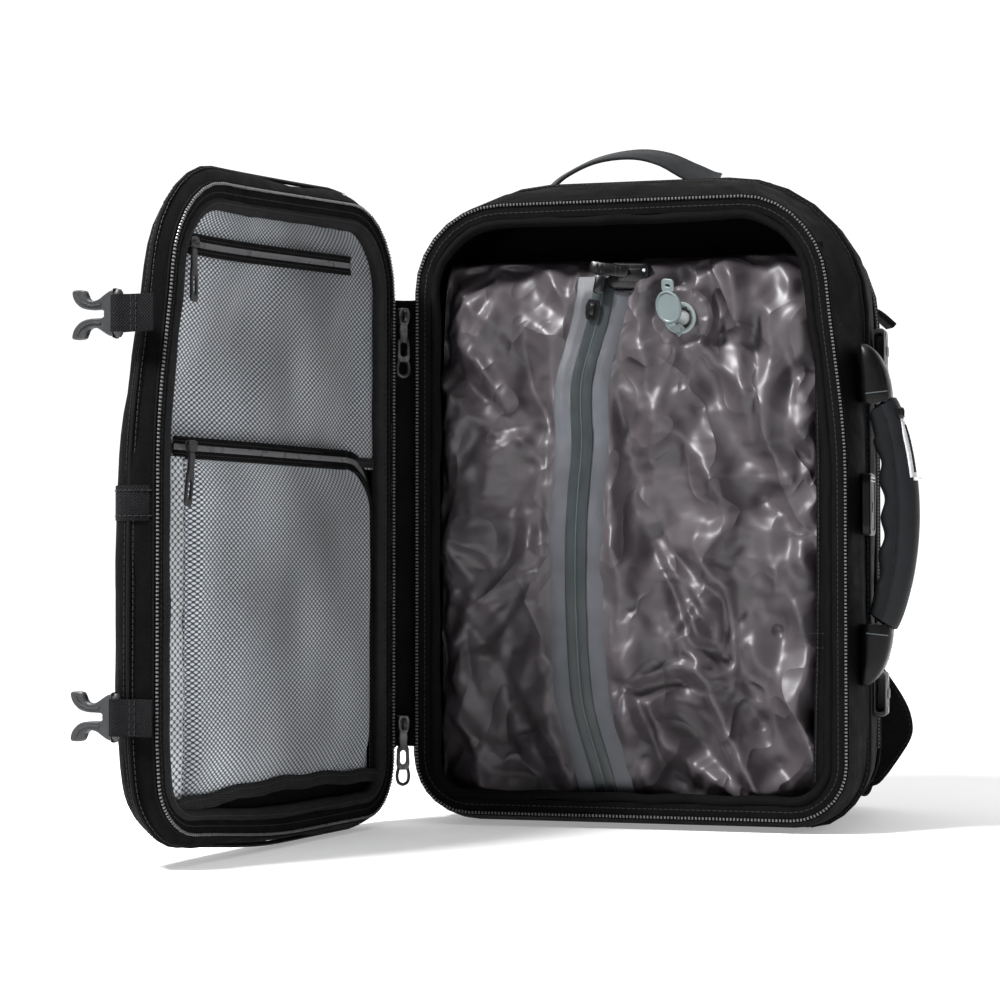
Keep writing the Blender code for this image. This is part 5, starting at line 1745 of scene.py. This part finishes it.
def build_cowl(level):
    """A glossy cowl over the grip's end, thick by the grip, with a slotted side panel."""
    low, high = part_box(f"side_handle_cowl_{level}")
    far, near = (high.z, low.z) if level == "upper" else (low.z, high.z)
    rows = []
    for t in (0, 0.015, 0.05, 0.11, 0.19, 0.3, 0.45, 0.62, 0.8, 0.94, 1.0):
        thick = 0.0035 + (high.x - 0.1785 - 0.0035) * sin(pi / 2 * t**0.62)
        wide = (high.y - low.y) * (0.6 + 0.4 * sin(pi / 2 * min(1.0, t * 3.4)) ** 0.6)
        tip = 1.0 if t < 0.97 else 0.96
        section = np.array(rounded_box(thick * tip, wide * tip, min(thick, wide) * 0.36))
        centre = 0.1785 + thick / 2
        rows.append(np.column_stack((centre + section[:, 0], (low.y + high.y) / 2 + section[:, 1],
                                     np.full(len(section), far + (near - far) * t))))
    pile = Pile().grid(rows, closed=True, caps=True)
    panel = []
    for t in (0.3, 0.36, 0.5, 0.66, 0.82, 0.96):
        thick = (high.x - 0.1785) * sin(pi / 2 * t**0.62)
        section = np.array(rounded_box(thick * 0.8, 0.009, 0.0028)) * (1.0,
                                                                       0.8 if t == 0.3 else 1.0)
        panel.append(np.column_stack((0.18 + thick / 2 + section[:, 0], high.y + 0.0006 + section[:,
            1],
                                      np.full(len(section), far + (near - far) * t))))
    pile.grid(panel, closed=True, caps=True)
    turn = 1 if level == "upper" else -1
    for t, size, slot in ((0.34, 0.001, 1), (0.42, 0.001, 1), (0.84, 0.0008, 2)):
        thick = (high.x - 0.1785) * sin(pi / 2 * t**0.62)
        spot = (0.18 + thick * 0.9, high.y - 0.0012, far + (near - far) * t)
        place = axes_at(spot, (0, 1, 0), (0, 0, 1))
        swell(pile, place, rounded_box(0.0085, size, size * 0.4), ((-0.002, 1), (0.0006, 1),
                                                                   (0.0009, 0.7)), slot)
        place = axes_at((0.18 + thick / 2, low.y + 0.0002, far + (near - far) * t),
                        (1, 0, 0.1 * turn), (0, 0, 1))
        if slot == 2:
            swell(pile, place, rounded_box(thick * 0.7, size, size * 0.4),
                  ((-0.0008, 1), (0.0008, 1)), 1)
    pile.build(f"side_cowl_{level}", "body", [M["cowl"], M["valve_dark"], M["chrome"]],
               [f"side_handle_cowl_{level}"],
               "gloss_black", edge=50)


def build_side_plate():
    """The framed plate behind the grip."""
    low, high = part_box("side_plate_frame")
    middle = (low + high) / 2
    place = axes_at((high.x - 0.0024, middle.y, middle.z), (0, 1, 0), (0, 0, 1))
    pile = Pile()
    wide, tall = high.y - low.y, high.z - low.z
    plate(pile, place, rounded_box(wide, tall, 0.005), 0.007, rounded_box(wide - 0.009, tall
                                                                          - 0.009,
                                                                          0.003),
          bevel=0.001)
    for level in (0.0205, 0.018):
        line = place @ Matrix.Translation((0, level, 0.003))
        swell(pile, line, rounded_box(wide - 0.008, 0.0007, 0.0003), ((-0.0006, 1), (0.0004, 1),
                                                                      (0.0006, 0.9)), slot=1)
    pile.build("side_plate_frame_moulded", "body", [M["cowl"], M["chrome"]], ["side_plate_frame"],
               "gloss_black")
    low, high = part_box("side_plate_insert")
    place = axes_at(((low.x + high.x) / 2 + 0.0008, middle.y, middle.z), (0, 1, 0), (0, 0, 1))
    pile = Pile()
    swell(pile, place, rounded_box(high.y - low.y, high.z - low.z, 0.0028),
          ((-0.0012, 1), (0.001, 1), (0.0016, 0.94)))
    swell(pile, place @ Matrix.Translation((0, -0.002, 0.0012)), rounded_box(0.002, 0.0085, 0.0009),
          ((-0.0008, 1), (0.0006, 1), (0.0009, 0.8)), slot=1)
    pile.build("side_plate_insert_moulded", "body", [M["brown"], M["gloss"]], ["side_plate_insert"],
               "gloss_black")


build_top_handle()
build_side_grip()
for level in ("upper", "lower"):
    build_cowl(level)
build_side_plate()


# ---------------------------------------------------------------- laptop compartment and back


def pad_field(pile, place, wide, tall, radius, high, seams, slot=0):
    """A quilted pad as a fine grid of heights inside a rounded outline."""
    rows = []
    for v in np.linspace(-1, 1, 90):
        over = max(0.0, abs(v) * tall / 2 - (tall / 2 - radius))
        half = wide / 2 - radius + max(radius**2 - over**2, 0) ** 0.5
        u = np.linspace(-1, 1, 30)
        x = u * half
        rim = np.minimum((half - np.abs(x)) / 0.01, (tall / 2 - abs(v) * tall / 2) / 0.01)
        dome = np.sqrt(np.clip(1 - (1 - np.clip(rim, 0, 1)) ** 2, 0, 1))
        groove = np.exp(-((np.sin(pi * seams * (v + 1) / 2 + 0.5 * np.abs(x) / wide) / 0.16) ** 2))
        z = high * (0.12 + 0.88 * dome) * (1 - 0.42 * groove * dome)
        rows.append(moved(np.column_stack((x, np.full(30, v * tall / 2), z)), place))
    pile.grid(rows, slot=slot)


def build_inside_panels():
    """The divider and the padded laptop sleeve behind it."""
    low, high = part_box("divider_panel")
    shape = outline(BODY_WAIST, 0.008)
    place = axes_at((0, (low.y + high.y) / 2, 0), (-1, 0, 0), (0, 0, 1))
    pile = Pile()
    plate(pile, place, [(-x, z) for x, z in shape[::-1]], high.y - low.y, bevel=0.0012)
    pile.build("divider_panel_sewn", "body", [M["lining"]], ["divider_panel"], "nylon_shell")
    low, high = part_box("laptop_sleeve")
    middle = (low + high) / 2
    pile = Pile()
    pad_field(pile, axes_at((middle.x, high.y, middle.z), (1, 0, 0), (0, 0, 1)), high.x - low.x,
              high.z - low.z,
              0.02, (high.y - low.y) * 0.9, 5)
    item = pile.build("laptop_sleeve_quilted", "body", [M["lining"]], ["laptop_sleeve"],
                      "back_foam",
                      edge=80)


REAR_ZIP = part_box("rear_zip_tape")


def build_rear_zip():
    """The laptop compartment's zip over the top and down both sides, under its rain flap."""
    y = (REAR_ZIP[0].y + REAR_ZIP[1].y) / 2
    path = body_ring(y, -0.0012)
    path = path[path[:, 2] > 0.054]
    path = even(path[np.argsort(np.arctan2(path[:, 2] - 0.06, path[:, 0]))], 220)
    up = unit(path - np.column_stack((np.clip(path[:, 0], -0.095, 0.095), path[:, 1],
                                      np.clip(path[:, 2], 0, 0.425))))
    pile = Pile()
    for hand in (-1, 1):
        pile.sweep(path + (0, hand * 0.0046, 0), pillow(0.0088, 0.0016), up)
        pile.rod(path + (0, hand * 0.0092, 0) + up * 0.0006, 0.0011, up, slot=2, sides=6)
        pile.blocks(path + (0, hand * 0.0013, 0), up, 0.0028, (0.0015, 0.0024, 0.0013), 1,
                    lift=0.0012)
        pile.stitches(path + (0, hand * 0.0068, 0) + up * 0.0009, up, slot=3)
    pile.build("rear_zip_sewn", "body", [M["tape"], M["pull"], M["piping"], M["thread"]],
               ["rear_zip_tape"], "zip_tape")
    low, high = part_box("rear_zip_slider")
    middle = (low + high) / 2
    pile = Pile()
    slider_body(pile, axes_at((low.x + 0.006, middle.y, middle.z), (0, -1, 0), (0, 0, 1)), 0.014,
                0.01, 0.006)
    pile.build("rear_zip_slider_cast", "rear_slider", [M["metal"]], ["rear_zip_slider"],
               "zip_metal")
    pivot = Vector(joint("rear_pull_swing")["pos_m"])
    low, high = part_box("rear_zip_pull")
    pile = Pile()
    puller(pile, axes_at(pivot + Vector((0.0018, 0, 0)), (0, -1, 0), (0, 0, 1)), high.z - low.z
           + 0.002, 0.0088, 0.0022)
    pile.build("rear_zip_pull_moulded", "rear_pull", [M["pull"]], ["rear_zip_pull"], "zip_puller")


def build_back():
    """Back panel, quilted pads and the band for a trolley's handle."""
    low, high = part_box("back_panel")
    middle = (low + high) / 2
    pile = Pile()
    back = axes_at((middle.x, low.y, middle.z), (-1, 0, 0), (0, 0, 1))
    pad_field(pile, back, high.x - low.x, high.z - low.z, 0.04, 0.0048, 0.0)
    edge_line = [moved((x, y, 0.0022), back) for x, y in rounded_box(high.x - low.x - 0.002, high.z
                                                                     - low.z - 0.002,
                                                                      0.04, 10)]
    pile.rod(even(edge_line + edge_line[:1], 160)[:-1], 0.0018, (0, 1, 0), closed=True, slot=1)
    item = pile.build("back_panel_sewn", "body", [M["air_mesh"], M["piping"]], ["back_panel"],
                      "nylon_shell", edge=80)
    for hand in ("left", "right"):
        low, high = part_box(f"back_pad_{hand}")
        middle = (low + high) / 2
        pile = Pile()
        place = axes_at((middle.x, low.y - 0.0006, middle.z), (-1, 0, 0), (0, 0, 1))
        pad_field(pile, place, high.x - low.x, high.z - low.z, 0.03, high.y - low.y + 0.0012, 5)
        item = pile.build(f"back_pad_{hand}_quilted", "body", [M["air_mesh"]], [f"back_pad_{hand}"],
                          "back_foam",
                          edge=80)
    low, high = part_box("luggage_band")
    z = (low.z + high.z) / 2
    path = smooth_path([(-0.132, 0.1025, z), (-0.125, 0.1085, z), (-0.11, 0.114, z),
                        (-0.07, 0.1162, z),
                        (0, 0.1166, z), (0.07, 0.1162, z), (0.11, 0.114, z), (0.125, 0.1085, z),
                        (0.132, 0.1025, z)], 60)
    pile = Pile().band(path, high.z - low.z, 0.0026, (0, 1, 0))
    for level in (low.z + 0.004, low.z + 0.008, high.z - 0.008, high.z - 0.004):
        line = path.copy()
        line[:, 2] = level
        pile.stitches(line + (0, 0.0014, 0), (0, 1, 0), slot=1)
    pile.build("luggage_band_sewn", "body", [M["webbing"], M["thread"]], ["luggage_band"],
               "black_webbing")


STRAP = ((0.058, 0.106, 0.47), (0.06, 0.113, 0.45), (0.066, 0.1265, 0.405), (0.076, 0.133, 0.33),
         (0.086, 0.134, 0.26), (0.105, 0.133, 0.19), (0.125, 0.131, 0.14), (0.1455, 0.131, 0.094),
         (0.1515, 0.131, 0.06))
LOOSE = ((0.1515, 0.131, 0.034), (0.1515, 0.1303, 0.0225), (0.151, 0.1265, 0.0155),
         (0.147, 0.116, 0.011),
         (0.142, 0.104, 0.017), (0.139, 0.0975, 0.032))


WING = ((0.15, 0.02), (0.168, 0.02), (0.1765, 0.026), (0.19, 0.0445), (0.199, 0.06),
        (0.2005, 0.072),
        (0.196, 0.088), (0.184, 0.108), (0.172, 0.122), (0.15, 0.124))
TAB = ((0.162, 0.078, 0.418), (0.1735, 0.085, 0.413), (0.185, 0.091, 0.403))


def build_shoulder_strap(hand, side):
    """A padded strap from the back panel's top to its ladder lock, with the webbing below."""
    mirror = np.array((side, 1, 1))
    path = smooth_path(np.array(STRAP) * mirror, 90)
    t = np.linspace(0, 1, 90)
    width = 0.062 - 0.018 * step(t, 0.35, 1.0)
    width *= 1 - 0.42 * step(t, 0.955, 1.0)
    thick = 0.0105 - 0.0035 * step(t, 0.9, 1.0) - 0.004 * (1 - step(t, 0, 0.06))
    _, across, out = frames(path, (0, 1, 0))
    angle = np.linspace(0, 2 * pi, 28, endpoint=False)
    c, s = np.cos(angle), np.sin(angle)
    rows = []
    for k in range(90):
        u = np.sign(c) * np.abs(c) ** 0.42 * width[k] / 2
        v = np.sign(s) * np.abs(s) ** 0.72 * thick[k] / 2
        rows.append(path[k] + across[k] * u[:, None] + out[k] * v[:, None])
    pile = Pile().grid(rows, closed=True, caps=True)
    for edge_side in (-1, 1):
        line = path + across * (edge_side * width / 2)[:, None]
        pile.rod(line, 0.0017, out, slot=1)
        seam = path + across * (edge_side * (width / 2 - 0.0065))[:,
            None] + out * (thick / 2 * 0.97)[:, None]
        pile.stitches(seam, (0, 1, 0), slot=2)
    ribbon = path[6:80] + out[6:80] * (thick[6:80] / 2 + 0.0006)[:, None]
    pile.band(ribbon, 0.02, 0.0014, out[6:80], slot=3)
    for spot in (10, 26, 42, 58, 74):
        row = np.array([path[spot] + out[spot] * (thick[spot] / 2 + 0.0016) + across[spot] * v
                        for v in np.linspace(-0.008, 0.008, 6)])
        pile.stitches(row, (0, 1, 0), slot=2)
    item = pile.build(f"shoulder_strap_{hand}_padded", "body", [M["air_mesh"], M["piping"],
                                                                M["thread"], M["webbing"]],
                      [f"shoulder_strap_{hand}"], "back_foam", edge=70)

    path = smooth_path(np.array(LOOSE) * mirror, 60)
    pile = Pile().band(path, WEBBING, 0.0018, np.cross((1.0, 0, 0), np.gradient(path, axis=0)))
    row = path[52] + np.linspace(-0.01, 0.01, 7)[:, None] * np.array((1, 0, 0)) + (0, 0.0014, 0)
    pile.stitches(row, (0, 1, 0), slot=1)
    wing = smooth_path([(x - 0.176, z - 0.07, 0) for x, z in WING], 90, closed=True)[:-1]
    place = axes_at((side * 0.176, 0.099, 0.07), (side, 0.1, 0), (0, 0, 1))
    plate(pile, place, wing[:, :2] if side > 0 else wing[::-1, :2], 0.005, bevel=0.0012)
    for face in (-1, 1):
        hem = moved(wing * 0.9 + (0, 0, face * 0.0026), place)
        pile.stitches(hem, (0, -face * side, 0), slot=1, closed=True)
    pile.build(f"strap_webbing_{hand}_woven", "body", [M["webbing"], M["thread"]],
               [f"strap_webbing_{hand}"],
               "black_webbing")

    tab = smooth_path(np.array(TAB) * mirror, 16)
    pile = Pile().band(tab, 0.02, 0.0052, (side * 0.6, 0.3, 0.7))
    pile.stitches(tab + np.array((side * 0.002, 0, 0.002)), (side * 0.6, 0.3, 0.7), slot=1)
    pile.build(f"strap_adjuster_end_{hand}", "body", [M["webbing"], M["thread"]],
               slot="black_webbing")

    low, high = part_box(f"ladder_lock_{hand}")
    middle = (low + high) / 2
    place = axes_at(middle, (-1, 0, 0), (0, 0, 1))
    wide, tall = high.x - low.x, high.z - low.z
    pile = Pile()
    plate(pile, place, rounded_box(wide, tall, 0.004), 0.0046, rounded_box(wide - 0.0075, tall
                                                                           - 0.0095, 0.002),
          bevel=0.001)
    for level in (-0.0028, 0.0034):
        bar = [moved((x, level, 0.0006), place) for x in np.linspace(-wide / 2 + 0.003, wide / 2
                                                                     - 0.003, 6)]
        pile.rod(bar, 0.0019, (0, 1, 0), sides=10)
    lip = [moved((x, tall / 2 - 0.001, 0.0012), place)
           for x in np.linspace(-wide / 2 + 0.005, wide / 2 - 0.005, 8)]
    pile.rod(lip, 0.002, (0, 1, 0), sides=10)
    pile.build(f"ladder_lock_{hand}_moulded", f"ladder_lock_{hand}", [M["plastic"]],
               [f"ladder_lock_{hand}"],
               "grey_plastic")


build_inside_panels()
build_rear_zip()
build_back()
build_shoulder_strap("left", -1)
build_shoulder_strap("right", 1)
